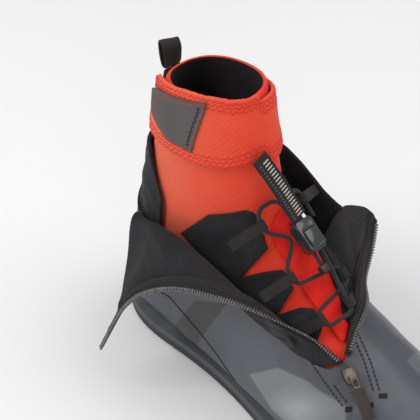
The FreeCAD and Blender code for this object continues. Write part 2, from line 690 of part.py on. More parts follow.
def skin(net, thickness):
    """Even-thickness sheet steered by a net of control points."""
    (u_mults, u_knots), (v_mults, v_knots) = clamped(len(net)), clamped(len(net[0]))
    surface = Part.BSplineSurface()
    surface.buildFromPolesMultsKnots(net, u_mults, v_mults, u_knots, v_knots, False, False, 3, 3)
    return surface.toShape().makeOffsetShape(thickness, 0.01, fill=True)


def towards(a, b, distance):
    return a + (b - a).normalize() * distance


def flap(prefix, columns):
    """Flap body, zip tape and zip coil from columns running root -> fold -> zip edge."""
    body_columns, tape_columns, coil_line = [], [], []
    for column in columns:
        end, before = column[-1], column[-2]
        tape = min(size("tape_width"), (end - before).Length * 0.6)
        body_columns.append(column[:-1] + [towards(end, before, tape)])
        tape_columns.append([towards(end, before, share * tape + (1 - share) * 1.9)
                             for share in (0.93, 0.62, 0.31, 0.0)])
        coil_line.append(end)
    steps = 3 * (len(columns) - 1)
    cloth = skin(smooth_net(body_columns, 8, steps), size("flap_thick"))
    tape_strip = skin(smooth_net(tape_columns, 3, steps), size("tape_thick"))
    net = smooth_net([[p, p] for p in coil_line], 1, steps)
    poles = [pair[0] for pair in net]
    mults, knots = clamped(len(poles))
    curve = Part.BSplineCurve()
    curve.buildFromPolesMultsKnots(poles, mults, knots, False, 3)
    path = Part.Wire(curve.toShape())
    ring = Part.Wire(Part.makeCircle(size("zip_tooth_radius"), poles[0], poles[1] - poles[0]))
    feature(prefix + "_flap", cloth)
    feature(prefix + "_zip_tape", tape_strip)
    feature(prefix + "_zip_coil", path.makePipeShell([ring], True, False))


def root_at(x, side):
    """Throat edge point nearest to a position along the boot."""
    return min((edge_point(5 + k * 0.1, side, 1.0) for k in range(76)), key=lambda p: abs(p.x - x))


lateral_columns = [
    [Vector(154, -20.5, 87.6), Vector(154, -22.8, 87.8), Vector(153.5, -24.8, 87.8)],
    [root_at(145, -1), Vector(144, -25, 91), Vector(142, -28, 94)],
    [root_at(130, -1), Vector(129, -33, 96), Vector(126, -38, 104)],
    [root_at(105, -1), Vector(103, -38, 108), Vector(100, -48, 108)],
    [root_at(75, -1), Vector(74, -40, 115), Vector(72, -49, 114), Vector(70, -57, 105)],
    [root_at(45, -1), Vector(44, -39, 118), Vector(43, -50, 113), Vector(42, -65, 90)],
    [root_at(18, -1), Vector(20, -39, 117), Vector(24, -53, 104), Vector(26, -72, 70)],
    [root_at(-10, -1), Vector(-6, -37, 107), Vector(6, -54, 84), Vector(16, -72, 62),
     Vector(14, -84, 30)],
]
flap("lateral", lateral_columns)
medial_columns = [
    [Vector(152, -16.5, 87.2), Vector(153.5, -15, 87.6), Vector(154.5, -13, 87.8)],
    [root_at(146, 1), Vector(147.5, -7, 94), Vector(149, -3, 93)],
    [root_at(136, 1), Vector(139, 8, 102), Vector(142, 13, 97)],
    [root_at(121, 1), Vector(128, 26, 105), Vector(132, 32, 95)],
    [root_at(106, 1), Vector(107, 32, 117), Vector(118, 42, 112), Vector(121, 48, 96)],
    [root_at(94, 1), Vector(95, 37, 131), Vector(108, 47, 130), Vector(116, 50, 116), Vector(117, 54, 96)],
]
flap("medial", medial_columns)

# ---------------------------------------------------------------- zip slider with its puller
zip_run = Vector(0.79, -0.27, -0.55).normalize()
zip_side = Vector(0, 0, 1).cross(zip_run).normalize()
zip_out = zip_run.cross(zip_side)
zip_seat = Vector(161.5, -22.5, 80.2)
zip_frame = Matrix(zip_run.x, zip_side.x, zip_out.x, zip_seat.x,
                   zip_run.y, zip_side.y, zip_out.y, zip_seat.y,
                   zip_run.z, zip_side.z, zip_out.z, zip_seat.z,
                   0, 0, 0, 1)


def on_zip(x, z):
    return Placement(zip_frame).multiply(Placement(Vector(x, 0, z), Rotation()))


slider = padded("zip_slider", "XY_Plane",
                [(-4.5, -4), (1, -4), (4.5, -3.1), (4.5, 3.1), (1, 4), (-4.5, 4)], "4.2")
pocketed(slider, "zip_slider_channel", "XY_Plane", rect(-8, -2.5, 8, 2.5), "2")
slider.Placement = on_zip(0, 0)
keep(slider, "zip_slider")
link = padded("zip_pull_link", "XY_Plane", rect(-0.5, -2.2, 8, 2.2), "1.2")
pocketed(link, "zip_link_eye", "XY_Plane", rect(2.8, -1.2, 6.8, 1.2), "3", through=True)
link.Placement = on_zip(0.5, 4.6)
keep(link, "zip_pull_link")
tab = padded("zip_pull_tab", "XY_Plane", rect(0, -3.6, 18, 3.6), "1.8")
tab.Placement = on_zip(8.9, 4.3)
keep(tab, "zip_pull_tab")
chain = padded("zip_closed_chain", "XY_Plane", rect(-4.5, -1.9, 12, 1.9), "1.4")
chain.Placement = on_zip(0, 0.2)
keep(chain, "zip_closed_chain")
stop = padded("zip_bottom_stop", "XY_Plane", rect(12.2, -2.8, 14.8, 2.8), "1.8")
stop.Placement = on_zip(0, 0.2)
keep(stop, "zip_bottom_stop")

# ---------------------------------------------------------------- checks and export
doc.recompute()
for obj in doc.Objects:
    if any(word in str(obj.State) for word in ("Invalid", "Error")):
        raise RuntimeError("%s is %s" % (obj.Label, obj.State))
for obj in exported:
    shape = obj.Shape
    if shape.isNull() or not shape.isValid():
        raise RuntimeError(obj.Label + " has no valid shape")
    solids = shape.Solids
    box = shape.optimalBoundingBox()
    print("%-24s solids %d volume %9.1f  x %.1f..%.1f y %.1f..%.1f z %.1f..%.1f" % (
        obj.Label, len(solids), shape.Volume, box.XMin, box.XMax, box.YMin, box.YMax, box.ZMin, box.ZMax))
    if len(solids) < 1:
        raise RuntimeError(obj.Label + " is not solid")
    obj.Shape.exportStep("parts/" + obj.Label + ".step")
print(len(exported), "sub-parts")
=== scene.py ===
import bmesh
import bpy
import json
import math
import numpy as np
from mathutils import Matrix, Vector, noise
from mathutils.bvhtree import BVHTree

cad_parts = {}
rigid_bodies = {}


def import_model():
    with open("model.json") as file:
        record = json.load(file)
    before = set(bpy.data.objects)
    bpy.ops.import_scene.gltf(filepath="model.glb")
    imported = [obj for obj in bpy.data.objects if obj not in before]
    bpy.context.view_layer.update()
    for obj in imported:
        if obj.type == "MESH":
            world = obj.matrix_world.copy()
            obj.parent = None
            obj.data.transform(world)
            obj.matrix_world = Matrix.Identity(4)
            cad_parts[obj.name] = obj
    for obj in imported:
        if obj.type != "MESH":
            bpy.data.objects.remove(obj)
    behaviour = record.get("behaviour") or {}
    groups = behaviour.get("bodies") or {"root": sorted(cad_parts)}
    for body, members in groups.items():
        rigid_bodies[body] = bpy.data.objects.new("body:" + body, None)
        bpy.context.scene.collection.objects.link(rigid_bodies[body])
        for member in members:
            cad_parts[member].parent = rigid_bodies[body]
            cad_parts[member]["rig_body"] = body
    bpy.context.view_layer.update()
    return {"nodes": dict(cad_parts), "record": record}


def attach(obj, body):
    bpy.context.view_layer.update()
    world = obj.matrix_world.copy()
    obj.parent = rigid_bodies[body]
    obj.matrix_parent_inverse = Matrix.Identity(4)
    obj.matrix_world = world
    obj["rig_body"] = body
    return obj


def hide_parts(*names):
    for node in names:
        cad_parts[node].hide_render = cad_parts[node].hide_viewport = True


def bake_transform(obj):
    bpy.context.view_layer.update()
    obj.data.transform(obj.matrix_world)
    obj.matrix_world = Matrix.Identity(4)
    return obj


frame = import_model()
nodes = frame["nodes"]

# Right cross country ski boot, opened for stepping in. All the sizes below are millimetres in the CAD frame:
# origin under the heel, +X to the toe, +Y to the inner side, +Z up.
MM = 0.001
ANKLE_X = 28.0              # the upright axis through the ankle that cuff angles are measured about
CUFF_RADIUS = 32.0          # mean distance of the cuff from that axis
CUFF_REACH = 90.0           # from that axis to well outside the cuff
NEAREST_WRAP = 20.0         # nothing of the wrap is closer to that axis


def clamp(value):
    return min(max(value, 0.0), 1.0)


def unit(vector):
    return vector / max(np.linalg.norm(vector), 1e-9)


# ---------------------------------------------------------------- materials
class Look:
    """Procedural finish built up on one principled shader: patterns add to its colour and its relief."""

    def __init__(self, name, colour, roughness=0.7, **inputs):
        self.material = bpy.data.materials.new(name)
        self.material.use_nodes = True
        self.tree = self.material.node_tree
        self.shader = self.tree.nodes["Principled BSDF"]
        self.colour = (*colour, 1.0)
        self.shader.inputs["Base Color"].default_value = self.colour
        self.shader.inputs["Roughness"].default_value = roughness
        for key, value in inputs.items():
            self.shader.inputs[key.replace("_", " ")].default_value = value
        self.height = None

    def add(self, kind, settings=(), **inputs):
        node = self.tree.nodes.new("ShaderNode" + kind)
        for key, value in dict(settings).items():
            setattr(node, key, value)
        for key, value in inputs.items():
            self.feed(node.inputs[key.replace("_", " ")], value)
        return node

    def feed(self, socket, value):
        if isinstance(value, bpy.types.NodeSocket):
            self.tree.links.new(value, socket)
        else:
            socket.default_value = value

    def math(self, operation, a, b=0.0, c=0.0):
        node = self.add("Math", {"operation": operation})
        for socket, value in zip(node.inputs, (a, b, c)):
            self.feed(socket, value)
        return node.outputs[0]

    def place(self, uv, turn=0.0, tilt=(0.0, 0.0)):
        coords = self.add("TexCoord").outputs["UV" if uv else "Object"]
        return self.add("Mapping", Vector=coords, Rotation=(tilt[0], tilt[1], turn)).outputs[0]

    def tint(self, factor, colour):
        """Mix the colour so far with another where the factor is 1."""
        mix = self.add("Mix", {"data_type": "RGBA"})
        sockets = [s for s in mix.inputs if s.type == "RGBA"]
        self.feed(mix.inputs[0], factor)
        self.feed(sockets[0], self.colour)
        self.feed(sockets[1], (*colour, 1.0))
        self.colour = [s for s in mix.outputs if s.type == "RGBA"][0]
        self.feed(self.shader.inputs["Base Color"], self.colour)
        return self

    def relief(self, value, depth):
        """Raise the surface by depth (mm) where the value is 1."""
        scaled = self.math("MULTIPLY", value, depth)
        self.height = scaled if self.height is None else self.math("ADD", self.height, scaled)
        return self

    def grain(self, period, amount=0.0, colour=(0, 0, 0), depth=0.0, uv=False, detail=3.0):
        unit = 1.0 if uv else MM
        wave = self.add("TexNoise", Vector=self.place(uv), Scale=1.0 / (period * unit), Detail=detail)
        value = wave.outputs[0]
        if amount:
            self.tint(self.math("MULTIPLY", self.ramp(value, 0.35, 0.65), amount), colour)
        if depth:
            self.relief(value, depth)
        return self

    def ramp(self, value, low, high):
        node = self.add("MapRange", Value=value)
        node.inputs[1].default_value, node.inputs[2].default_value = low, high
        return node.outputs[0]

    def band(self, period, turn, uv=True, tilt=(0.0, 0.0)):
        """Stripes of one period (mm), 0..1."""
        unit = 1.0 if uv else MM
        wave = self.add("TexWave", Vector=self.place(uv, turn, tilt), Scale=0.31416 / (period * unit),
                        Distortion=0.0)
        return wave.outputs[1]

    def ribs(self, period, turn, depth, amount, colour, uv=True):
        value = self.band(period, turn, uv)
        self.tint(self.math("MULTIPLY", value, amount), colour)
        return self.relief(value, depth)

    def weave(self, period, depth, amount, colour, uv=True):
        across = self.band(period, 0.0, uv)
        down = self.band(period, math.pi / 2, uv, (0.0, 0.0) if uv else (0.4, 0.4))
        value = self.math("MULTIPLY", across, down)
        self.tint(self.math("MULTIPLY", value, amount), colour)
        return self.relief(value, depth)

    def patch(self, corners, side, colour, amount=1.0, soft=0.35):
        """Tint a convex region given by (x, z) corners in millimetres, on one side of the boot."""
        place = self.add("TexCoord").outputs["Object"]
        split = self.add("SeparateXYZ", Vector=place)
        x, y, z = split.outputs
        middle = np.mean(corners, axis=0)
        mask = self.ramp(self.math("MULTIPLY", y, side / MM), 14.0, 15.0)
        for a, b in zip(corners, corners[1:] + corners[:1]):
            normal = unit(np.array([a[1] - b[1], b[0] - a[0]], float))
            if np.dot(middle - np.array(a), normal) < 0:
                normal = -normal
            along_x, along_z = [self.math("MULTIPLY", c, n / MM) for c, n in ((x, normal[0]), (z, normal[1]))]
            reach = self.math("ADD", along_x, along_z)
            start = float(np.dot(normal, a))
            mask = self.math("MULTIPLY", mask, self.ramp(reach, start - soft, start + soft))
        return self.tint(self.math("MULTIPLY", mask, amount), colour)

    def above(self, height, colour, axis=2, soft=0.3):
        """Tint everything above a height in millimetres."""
        split = self.add("SeparateXYZ", Vector=self.add("TexCoord").outputs["Object"])
        mask = self.ramp(self.math("MULTIPLY", split.outputs[axis], 1 / MM), height - soft, height + soft)
        return self.tint(mask, colour)

    def done(self, strength=1.0):
        if self.height is not None:
            bump = self.add("Bump", Height=self.height, Distance=MM, Strength=strength)
            self.feed(self.shader.inputs["Normal"], bump.outputs[0])
        return self.material


def textile(name, colour, dark, period, depth, uv=True, **inputs):
    look = Look(name, colour, 0.9, Specular_IOR_Level=0.2, **inputs)
    return look.weave(period, depth, 0.5, dark, uv=uv).grain(9.0, 0.25, dark, 0.25, uv=uv)


neoprene = Look("liner_neoprene", (0.80, 0.165, 0.080), 0.85, Specular_IOR_Level=0.3, Sheen_Weight=0.06)
# Painted light and shade: the liner is orange at the back, where it is lit, and turns deep red towards the
# front (x past 34 and 76 mm), where it lies in shade.
neoprene.above(34.0, (0.80, 0.070, 0.030), 0, 28.0).above(76.0, (0.84, 0.026, 0.012), 0, 16.0)
neoprene.ribs(1.9, 0.6, 0.16, 0.14, (0.88, 0.10, 0.045)).ribs(1.2, -0.9, 0.1, 0.14, (0.60, 0.030, 0.012))
neoprene.grain(16.0, 0.22, (0.84, 0.10, 0.04), 0.3, uv=True).grain(60.0, 0.25, (0.66, 0.030, 0.012))
neoprene = neoprene.done(0.7)
# Painted shade: the tongue is the same neoprene as the liner, coloured deep red for the shade it lies in
# between the guard fingers.
tongue_shaded_look = Look("tongue_neoprene_painted_shade", (0.80, 0.014, 0.009), 0.82, Specular_IOR_Level=0.3)
tongue_shaded_look.ribs(1.9, 0.6, 0.16, 0.2, (0.60, 0.008, 0.006)).grain(14.0, 0.3, (0.84, 0.028, 0.016), 0.3)
tongue_shaded_look = tongue_shaded_look.done(0.7)
binding = Look("binding_edge", (0.78, 0.036, 0.020), 0.80, Specular_IOR_Level=0.3, Sheen_Weight=0.05)
binding.grain(1.2, 0.35, (0.56, 0.018, 0.010), 0.3).grain(8.0, 0.3, (0.85, 0.08, 0.04))
binding = binding.done(0.8)
lining = textile("cuff_lining", (0.016, 0.011, 0.013), (0.006, 0.004, 0.005), 1.3, 0.2, Sheen_Weight=0.05)
lining = lining.done(0.7)
softshell = Look("softshell", (0.016, 0.016, 0.019), 0.88, Specular_IOR_Level=0.2, Sheen_Weight=0.05)
softshell.weave(0.9, 0.12, 0.4, (0.008, 0.008, 0.010), uv=False).grain(14.0, 0.3, (0.030, 0.030, 0.034), 0.5)
softshell = softshell.done(0.6)
flap_lining = textile("flap_lining", (0.024, 0.024, 0.026), (0.012, 0.012, 0.013), 0.9, 0.12,
                      Sheen_Weight=0.08)
flap_lining = flap_lining.grain(70.0, 0.7, (0.012, 0.012, 0.013)).done(0.6)
SLATE, SLATE_DEEP, SLATE_PALE = (0.068, 0.073, 0.088), (0.045, 0.047, 0.055), (0.088, 0.095, 0.112)
laminate = Look("shell_laminate", SLATE, 0.38, Specular_IOR_Level=0.45)
laminate.grain(46.0, 0.6, (0.050, 0.054, 0.066), 0.0, detail=0.5).grain(0.7, 0.12, (0.11, 0.12, 0.13), 0.05)
laminate.patch([(84, 15), (63, 84), (96, 92), (150, 30), (150, 15)], -1, SLATE_PALE, 0.45)
# Painted shadow: a dark strip on the lateral shell where the folded-out leaf shades it.
laminate.patch([(72, 79), (45, 62), (24, 20), (46, 20)], -1, (0.026, 0.024, 0.024), 0.9)
laminate.patch([(97, 40), (108, 52), (119, 64), (141, 70), (169, 67), (176, 55), (150, 34), (120, 30)], -1,
               (0.200, 0.205, 0.208), 0.75, 0.8)
# Painted highlight: a soft bright spot on the silver print, standing in for the lamp's reflection on the
# gloss.
laminate.patch([(122, 36), (138, 60), (158, 62), (146, 38)], -1, (0.42, 0.425, 0.43), 0.5, 7.0)
laminate.patch([(150, 15), (120, 60), (150, 82), (190, 60), (200, 15)], 1, SLATE_PALE, 0.6)
laminate.patch([(172, 15), (168, 60), (178, 84), (196, 80), (190, 15)], 1, (0.125, 0.132, 0.150), 0.75)
laminate.patch([(204, 15), (206, 76), (222, 74), (222, 15)], 1, (0.105, 0.112, 0.130), 0.6)
laminate.patch([(-30, 15), (-25, 60), (20, 60), (30, 15)], -1, SLATE_DEEP, 0.7)
laminate.grain(22.0, 0.0, depth=0.8, detail=1.0)
laminate_material = laminate.done(0.5)
panel_look = textile("medial_panel", (0.052, 0.051, 0.052), (0.026, 0.026, 0.027), 0.9, 0.12,
                     Sheen_Weight=0.06)
panel_look = panel_look.grain(50.0, 0.6, (0.028, 0.028, 0.029)).done(0.6)
guard_cloth = Look("guard_textile", (0.016, 0.016, 0.018), 0.80, Specular_IOR_Level=0.25, Sheen_Weight=0.05)
guard_cloth.grain(0.8, 0.35, (0.009, 0.009, 0.010), 0.12).grain(9.0, 0.3, (0.030, 0.030, 0.033), 0.4)
guard_cloth = guard_cloth.done(0.6)
webbing = Look("webbing", (0.020, 0.017, 0.016), 0.90, Specular_IOR_Level=0.2, Sheen_Weight=0.06)
webbing.weave(1.0, 0.3, 0.75, (0.075, 0.066, 0.062)).grain(0.5, 0.3, (0.010, 0.010, 0.010), 0.1, uv=True)
webbing = webbing.done(0.9)
tape_cloth = Look("zip_tape", (0.016, 0.015, 0.015), 0.92, Specular_IOR_Level=0.2, Sheen_Weight=0.06)
tape_cloth.weave(1.5, 0.45, 0.8, (0.085, 0.078, 0.072)).grain(0.7, 0.4, (0.010, 0.010, 0.010), 0.15, uv=True)
tape_cloth = tape_cloth.done(0.9)
braid = Look("lace_cord", (0.013, 0.012, 0.012), 0.78, Sheen_Weight=0.08)
braid.ribs(1.1, 0.75, 0.25, 0.5, (0.045, 0.040, 0.040)).ribs(1.1, -0.75, 0.25, 0.3, (0.006, 0.006, 0.006))
braid = braid.done(0.9)


def thread(name, colour, roughness, amount, dark):
    return Look(name, colour, roughness).ribs(0.5, 0.8, 0.1, amount, dark, uv=False).done()


thread_dark = thread("thread_dark", (0.008, 0.008, 0.009), 0.6, 0.4, (0.035, 0.035, 0.035))
thread_red = thread("thread_red", (0.70, 0.010, 0.008), 0.7, 0.4, (0.80, 0.02, 0.015))
thread_pale = thread("thread_pale", (0.52, 0.48, 0.46), 0.6, 0.3, (0.35, 0.32, 0.31))
thread_grey = thread("thread_grey", (0.13, 0.12, 0.12), 0.65, 0.4, (0.06, 0.06, 0.06))
gloss = Look("lock_gloss", (0.020, 0.024, 0.028), 0.16, Coat_Weight=0.4, Coat_Roughness=0.08)
gloss = gloss.grain(11.0, 0.3, (0.03, 0.035, 0.04), 0.05).grain(0.9, 0.08, (0.06, 0.06, 0.06), 0.02).done(0.4)
moulded = Look("moulded_plastic", (0.018, 0.018, 0.020), 0.42)
moulded = moulded.grain(0.8, 0.25, (0.03, 0.03, 0.033), 0.12).grain(9.0, 0.2, (0.010, 0.010, 0.011)).done(0.6)
teeth_look = Look("zip_coil", (0.060, 0.057, 0.054), 0.28, Specular_IOR_Level=0.8)
teeth_look = teeth_look.grain(2.5, 0.5, (0.19, 0.18, 0.17), 0.05).done(0.5)
bronze = Look("zip_metal", (0.125, 0.098, 0.078), 0.36, Metallic=0.85)
bronze.grain(1.6, 0.55, (0.060, 0.045, 0.034), 0.06).grain(6.0, 0.3, (0.22, 0.185, 0.155))
bronze = bronze.done(0.6)
puller_skin = Look("puller_leather", (0.036, 0.020, 0.017), 0.66)
puller_skin.grain(1.1, 0.55, (0.014, 0.009, 0.008), 0.35).grain(6.0, 0.35, (0.060, 0.034, 0.028), 0.2)
puller_skin = puller_skin.done(0.9)
rubber = Look("sole_rubber", (0.026, 0.027, 0.029), 0.66)
rubber.grain(0.9, 0.25, (0.014, 0.014, 0.016), 0.12).grain(18.0, 0.35, (0.040, 0.041, 0.043))
rubber.above(9.0, (0.075, 0.080, 0.094))
rubber = rubber.done(0.7)
tread_rubber = Look("tread_rubber", (0.012, 0.012, 0.013), 0.72)
tread_rubber.grain(1.0, 0.4, (0.024, 0.024, 0.024), 0.15).grain(25.0, 0.4, (0.034, 0.033, 0.031))
tread_rubber = tread_rubber.done(0.7)
steel = Look("steel", (0.55, 0.55, 0.56), 0.30, Metallic=1.0)
steel.ribs(0.5, 0.0, 0.05, 0.25, (0.3, 0.3, 0.31), uv=False).grain(7.0, 0.3, (0.38, 0.37, 0.36))
steel = steel.done(0.5)
board_look = textile("board", (0.33, 0.30, 0.26), (0.2, 0.18, 0.15), 2.0, 0.1, uv=False).done(0.5)
footbed_look = textile("footbed_foam", (0.016, 0.016, 0.018), (0.008, 0.008, 0.009), 1.4, 0.2, uv=False)
footbed_look = footbed_look.done(0.6)
hook_look = Look("hook_tape", (0.012, 0.012, 0.012), 0.95)
hook_look = hook_look.grain(0.9, 0.6, (0.04, 0.04, 0.04), 0.5).grain(5.0, 0.2, (0.016, 0.016, 0.016)).done()
label_look = Look("label_textile", (0.078, 0.073, 0.070), 0.66)
label_look.grain(0.6, 0.35, (0.050, 0.046, 0.044), 0.06).grain(12.0, 0.3, (0.10, 0.093, 0.09))
label_look = label_look.done(0.5)


# ---------------------------------------------------------------- mesh helpers
def mesh_object(name, points, faces, material, uv=None, smooth=True):
    """Object from points in millimetres; uv holds one pair per point."""
    mesh = bpy.data.meshes.new(name)
    mesh.from_pydata([tuple(float(c) * MM for c in p) for p in points], [], faces)
    if uv is not None:
        layer = mesh.uv_layers.new(name="UVMap")
        for loop in mesh.loops:
            layer.data[loop.index].uv = uv[loop.vertex_index]
    mesh.polygons.foreach_set("use_smooth", [smooth] * len(mesh.polygons))
    for one in material if isinstance(material, (list, tuple)) else [material]:
        mesh.materials.append(one)
    mesh.update()
    obj = bpy.data.objects.new(name, mesh)
    bpy.context.scene.collection.objects.link(obj)
    return obj


def applied(obj):
    """Bake the modifiers into the mesh."""
    bpy.context.view_layer.update()
    graph = bpy.context.evaluated_depsgraph_get()
    mesh = bpy.data.meshes.new_from_object(obj.evaluated_get(graph))
    obj.modifiers.clear()
    obj.data = mesh
    return obj


def modify(obj, kind, **settings):
    modifier = obj.modifiers.new(kind.lower(), kind)
    for key, value in settings.items():
        setattr(modifier, key, value)
    return modifier


def shade_smooth(obj):
    for face in obj.data.polygons:
        face.use_smooth = True


def cloth_strip(name, grid, material, thickness, edge=0.0):
    """Cloth or webbing of one thickness over a (rows, columns, 3) grid, with its edges eased if asked."""
    faces = grid_faces(grid.shape[0], grid.shape[1])
    obj = mesh_object(name, grid.reshape(-1, 3), faces, material, arc_uv(grid))
    thicken(obj, thickness, edge)
    return obj


def thicken(obj, thickness, edge=0.0, angle=None):
    """Give a sheet its thickness, half to each side, and ease edges that turn by more than the angle."""
    modify(obj, "SOLIDIFY", thickness=thickness * MM, offset=0.0, use_rim=True)
    if edge:
        bevel = modify(obj, "BEVEL", width=edge * MM, segments=2, limit_method="ANGLE")
        if angle:
            bevel.angle_limit = angle
    applied(obj)
    shade_smooth(obj)


def finish_piece(obj, body, slot, *replaced):
    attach(obj, body)
    if replaced:
        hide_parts(*replaced)
    return obj


def grid_faces(rows, columns, closed=False):
    wrap = columns if closed else columns - 1
    return [(r * columns + c, r * columns + (c + 1) % columns, (r + 1) * columns + (c + 1) % columns,
             (r + 1) * columns + c) for r in range(rows - 1) for c in range(wrap)]


def rumpled(points, normals, depth, period, seed, stretch=(1, 1, 1)):
    """Move points along their normals by smooth noise."""
    out = []
    for p, n in zip(points, normals):
        q = Vector([p[k] * stretch[k] / period + seed for k in range(3)])
        out.append(np.asarray(p) + np.asarray(n) * depth * noise.fractal(q, 1.0, 2.0, 3))
    return out


def grid_normals(grid, closed=False):
    """Outward normals of a (rows, columns, 3) grid."""
    along = np.gradient(grid, axis=0)
    if closed:
        across = (np.roll(grid, -1, axis=1) - np.roll(grid, 1, axis=1)) / 2
    else:
        across = np.gradient(grid, axis=1)
    n = np.cross(across, along)
    return n / np.maximum(np.linalg.norm(n, axis=2, keepdims=True), 1e-9)


def dress(obj, material):
    obj.data.materials.clear()
    obj.data.materials.append(material)


def cad_copy(node, name, material):
    obj = bpy.data.objects.new(name, nodes[node].data.copy())
    bpy.context.scene.collection.objects.link(obj)
    dress(obj, material)
    modify(obj, "WELD", merge_threshold=1e-6)
    return obj


def soft_copy(node, material, voxel, rounds, depth, period, body="boot", name=None):
    """Rounded, slightly rumpled cloth version of a CAD node."""
    obj = cad_copy(node, name or node + "_soft", material)
    modify(obj, "REMESH", mode="VOXEL", voxel_size=voxel * MM, use_smooth_shade=True)
    modify(obj, "SMOOTH", factor=0.5, iterations=rounds)
    applied(obj)
    dress(obj, material)
    seed = sum(ord(c) for c in node) % 97
    points = [v.co / MM for v in obj.data.vertices]
    moved = rumpled(points, [v.normal for v in obj.data.vertices], depth, period, seed)
    for v, p in zip(obj.data.vertices, moved):
        v.co = Vector(p) * MM
    cylinder_uv(obj)
    return finish_piece(obj, body, slot_of[node], node)


def cylinder_uv(obj):
    """Texture coordinates in millimetres round the ankle axis and up."""
    layer = obj.data.uv_layers.new(name="UVMap")
    for face in obj.data.polygons:
        start = None
        for loop in face.loop_indices:
            p = obj.data.vertices[obj.data.loops[loop].vertex_index].co / MM
            turn = math.atan2(p.y, p.x - ANKLE_X)
            if start is None:
                start = turn
            turn += round((start - turn) / (2 * math.pi)) * 2 * math.pi
            layer.data[loop].uv = (turn * CUFF_RADIUS, p.z + (p.x - ANKLE_X) * 0.35)


slot_of = {s["node"]: s["material_slot"] for s in frame["record"]["subparts"]}


# ---------------------------------------------------------------- boot surface, as in the CAD part
def eased(values, spot):
    """Smooth value at a fractional list position that never overshoots its neighbours."""
    values = np.asarray(values, float)
    k = min(int(spot), len(values) - 2)
    m, gaps = spot - k, np.diff(values, axis=0)

    def slope(i):
        if i == 0 or i == len(gaps):
            return gaps[min(i, len(gaps) - 1)]
        a, b = gaps[i - 1], gaps[i]
        turned = a * b <= 0
        return np.where(turned, 0.0, 2 * a * b / np.where(turned, 1.0, a + b))

    return (values[k] * (2 * m ** 3 - 3 * m ** 2 + 1) + slope(k) * (m ** 3 - 2 * m ** 2 + m)
            + values[k + 1] * (3 * m ** 2 - 2 * m ** 3) + slope(k + 1) * (m ** 3 - m ** 2))


# back x, back z, front x, front z, lateral half width, medial half width, roundness, floor
STATIONS = np.array([
    (259.5, 22.6, 259.5, 34, 12, 18, 0.3, 1), (251, 19.4, 251, 45, 22, 28, 0.2, 1),
    (236, 16.6, 236, 56, 33, 36, 0.1, 1), (211, 15, 211.5, 65, 41, 42, 0, 1),
    (180, 14.7, 184, 74, 45, 45, 0, 1), (150, 14.7, 157, 86, 45, 44, 0, 1),
    (120, 14.7, 131, 101, 41, 40, 0, 1), (85, 14.7, 110, 117, 37, 36, 0, 1),
    (45, 14.7, 96, 133, 34, 34, 0, 1), (-18, 14.7, 88, 143, 33, 33, 0.15, 1),
    (-33, 24, 84, 150, 33, 33, 0.45, 0.3), (-35, 50, 80, 158, 33, 33, 0.75, 0),
    (-29, 85, 76, 167, 32, 32, 1, 0), (-23, 115, 72, 178, 31, 31, 1, 0),
    (-17, 148, 68.5, 190, 31, 30, 1, 0), (-11, 178, 65.5, 200, 29.5, 29.5, 1, 0),
    (-8, 197.5, 63, 209, 27, 29.5, 1, 0), (-7, 212, 62.5, 224, 27, 29.5, 1, 0)], float)
SHARES = [0.0, 0.0, 0.0, 0.03, 0.15, 0.4, 0.62, 0.8, 0.93, 1.0]
WIDTHS = [0.0, 0.35, 0.7, 0.93, 1.0, 0.98, 0.88, 0.72, 0.44, 0.0]
SIDE_STEPS, STEPS, RIM = 16, 3, 16
THROAT_SLOPE, THROAT_TILT = 0.109, 0.42


def section_point(row, turn, side, inset, drop=0.0):
    """Point of one fan section, drawn in by an even amount."""
    oval = 0.5 - 0.5 * math.cos(math.pi * turn)
    wide = max(0.0, 1 - abs(2 * oval - 1) ** 2.3) ** (1 / 2.3)
    spot, mix = turn * (len(SHARES) - 1), row[6]
    share = float(eased(SHARES, spot)) * (1 - mix) + oval * mix
    width = float(eased(WIDTHS, spot)) * (1 - mix) + wide * mix
    dx, dz = row[2] - row[0], row[3] - row[1]
    length = math.hypot(dx, dz)
    start = inset + drop * row[7]
    run = start + share * (length - start - inset)
    half = (row[4] if side < 0 else row[5]) - inset
    pull = inset * max(0.0, (row[0] - 205.0) / 54.5)
    return np.array([row[0] - pull + dx * run / length, side * half * width, row[1] + dz * run / length])


def pole_rows(inset, last, drop=0.0):
    rows = []
    for k in range(last * STEPS + 1):
        row = eased(STATIONS, k / STEPS)
        turns = [j / SIDE_STEPS for j in range(SIDE_STEPS + 1)]
        rows.append([section_point(row, t, -1, inset, drop) for t in turns]
                    + [section_point(row, t, 1, inset, drop) for t in turns[-2:0:-1]])
    return np.array(rows)


def weights(count, spots, closed):
    """Cubic B-spline weights of count poles at each spot."""
    table = np.zeros((len(spots), count))
    for r, t in enumerate(spots):
        if closed:
            i, f = int(math.floor(t)), t - math.floor(t)
            parts = ((1 - f) ** 3, 3 * f ** 3 - 6 * f ** 2 + 4, -3 * f ** 3 + 3 * f ** 2 + 3 * f + 1, f ** 3)
            for k, part in enumerate(parts):
                table[r, (i + k - 1) % count] += part / 6
            continue
        spans = count - 3
        knots = [0.0] * 3 + [float(k) for k in range(spans + 1)] + [float(spans)] * 3
        t = min(max(t, 0.0), spans - 1e-9)
        base = [1.0 if knots[i] <= t < knots[i + 1] else 0.0 for i in range(len(knots) - 1)]
        for degree in (1, 2, 3):
            base = [((t - knots[i]) / (knots[i + degree] - knots[i]) * base[i]
                     if knots[i + degree] > knots[i] else 0)
                    + ((knots[i + degree + 1] - t) / (knots[i + degree + 1] - knots[i + 1]) * base[i + 1]
                       if knots[i + degree + 1] > knots[i + 1] else 0)
                    for i in range(len(base) - 1)]
        table[r] = base[:count]
    return table


def boot_grid(inset, rows, columns, last, drop=0.0):
    poles = pole_rows(inset, last, drop)
    u = weights(len(poles), np.linspace(0, len(poles) - 3, rows), False)
    v = weights(poles.shape[1], np.arange(columns) * poles.shape[1] / columns, True)
    return np.einsum("ri,ijk,cj->rck", u, poles, v)


def throat_height(x, y):
    return 82.0 + (163.0 - x) * THROAT_SLOPE + (y + 18.0) * THROAT_TILT


